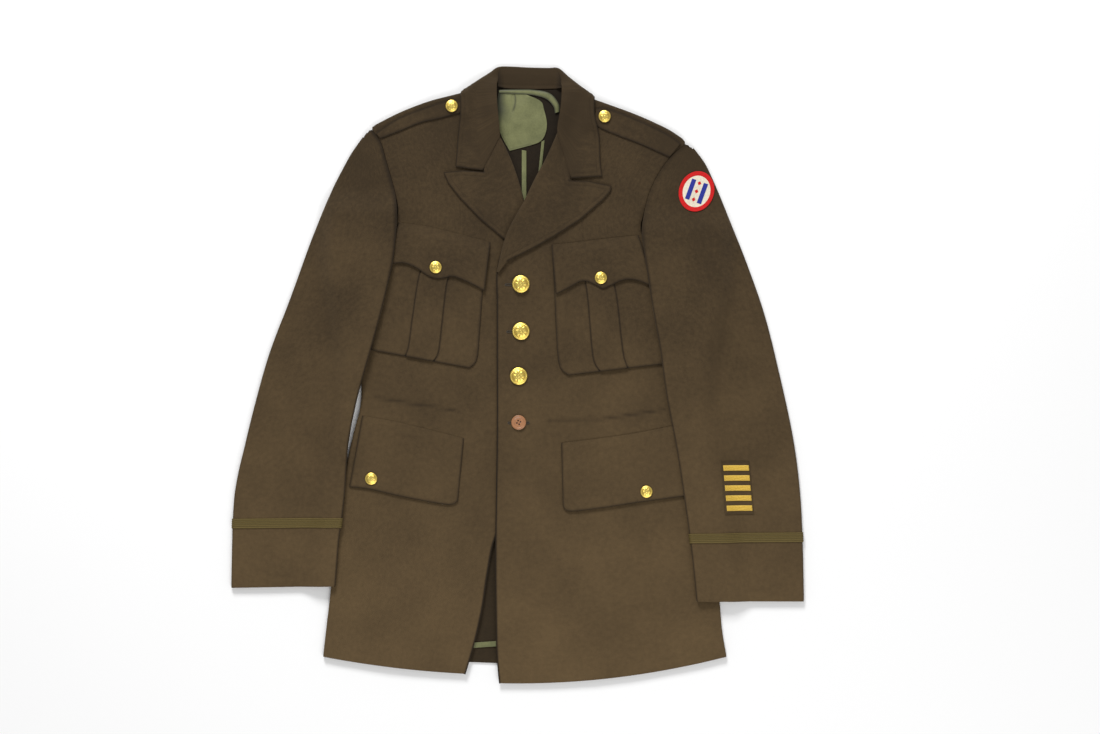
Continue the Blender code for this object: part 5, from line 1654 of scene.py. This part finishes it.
def waistButton():
    x, y = buttons["waist"]
    top = frontTop("left", x, y)
    turned("waistButton", hornProfile, buttons["waistSize"], x, y, top + 0.45, 128, holes, horn,
           "waist_button", "horn", fine=4)


waistButton()


# Buttonholes: a cord of thread round a slit, of which the ends show
buttonholes = [(-6.0, 120.0, 21.0), (-4.0, 58.2, 21.0), (1.0, -61.6, 27.5)]  # middle x and y, length
slit = {"wide": 1.15, "cord": 0.62, "above": 0.15}


def buttonhole(number, x, y, length):
    curveData = bpy.data.curves.new("hole", "CURVE")
    curveData.dimensions = "3D"
    line = curveData.splines.new("POLY")
    steps = 60
    line.points.add(steps - 1)
    straight, wide = length / 2 - slit["wide"], slit["wide"]
    for step, point in enumerate(line.points):  # an oval with straight sides
        angle = 2 * math.pi * step / steps - math.pi
        end = math.copysign(min(1.0, abs(math.cos(angle)) * 3), math.cos(angle))
        px, py = x + straight * end + wide * math.cos(angle), y + wide * math.sin(angle)
        point.co = (*((Vector((px, py, frontTop("left", px, py) + slit["above"])) + middle) * metre), 1)
    line.use_cyclic_u = True
    curveData.bevel_depth, curveData.bevel_resolution = slit["cord"] * metre, 3
    shape = bpy.data.objects.new("holeCurve", curveData)
    bpy.context.scene.collection.objects.link(shape)
    bpy.context.view_layer.update()
    mesh = bpy.data.meshes.new_from_object(shape.evaluated_get(bpy.context.evaluated_depsgraph_get()))
    bpy.data.objects.remove(shape)
    obj = bpy.data.objects.new(f"buttonhole{number}", mesh)
    bpy.context.scene.collection.objects.link(obj)
    mesh.materials.clear()
    mesh.materials.append(darkThread)
    mesh.shade_smooth()
    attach(obj, "root")


for number, (x, y, length) in enumerate(buttonholes):
    buttonhole(number + 1, x, y, length)


# Floor, lights and camera
print("stage")

view = {
    "high": 3.0,  # of the camera over the floor
    "wide": 1.452,  # of the floor that the picture takes in
    "centre": (0.0427, 0.0109),
    "floor": 4.0,  # half its width
    "paper": 0.93,
    "sky": 0.38,
    "lamps": {  # place, size and power
        "key": ((-0.5, 2.3, 1.7), 0.9, 68),
        "fill": ((0.6, -2.2, 2.2), 2.4, 50),
    },
}


def stage():
    bm = bmesh.new()
    bmesh.ops.create_grid(bm, x_segments=1, y_segments=1, size=view["floor"])
    bmesh.ops.translate(bm, vec=(0, 0, -0.0002), verts=bm.verts)
    mesh = bpy.data.meshes.new("floor")
    bm.to_mesh(mesh)
    bm.free()
    floor = bpy.data.objects.new("floor", mesh)
    bpy.context.scene.collection.objects.link(floor)
    tone = view["paper"]
    mesh.materials.append(material("paper", 0.9, Specular_IOR_Level=0.1, Base_Color=(tone, tone, tone, 1))[0])
    world = bpy.data.worlds.new("studio")
    bpy.context.scene.world = world
    world.use_nodes = True
    sky = world.node_tree.nodes["Background"]
    sky.inputs["Color"].default_value = (1, 1, 1, 1)
    sky.inputs["Strength"].default_value = view["sky"]
    for name, (place, size, power) in view["lamps"].items():
        light = bpy.data.lights.new(name, "AREA")
        light.size, light.energy = size, power
        lamp = bpy.data.objects.new(name, light)
        lamp.location = place
        lamp.rotation_euler = (-Vector(place)).to_track_quat("-Z", "Y").to_euler()
        bpy.context.scene.collection.objects.link(lamp)
    lens = bpy.data.cameras.new("camera")
    lens.sensor_width = 36
    lens.lens = 36 * view["high"] / view["wide"]
    camera = bpy.data.objects.new("camera", lens)
    camera.location = (*view["centre"], view["high"])
    bpy.context.scene.collection.objects.link(camera)
    bpy.context.scene.camera = camera
    bpy.context.scene.view_settings.view_transform = "Standard"


stage()

bpy.context.view_layer.update()
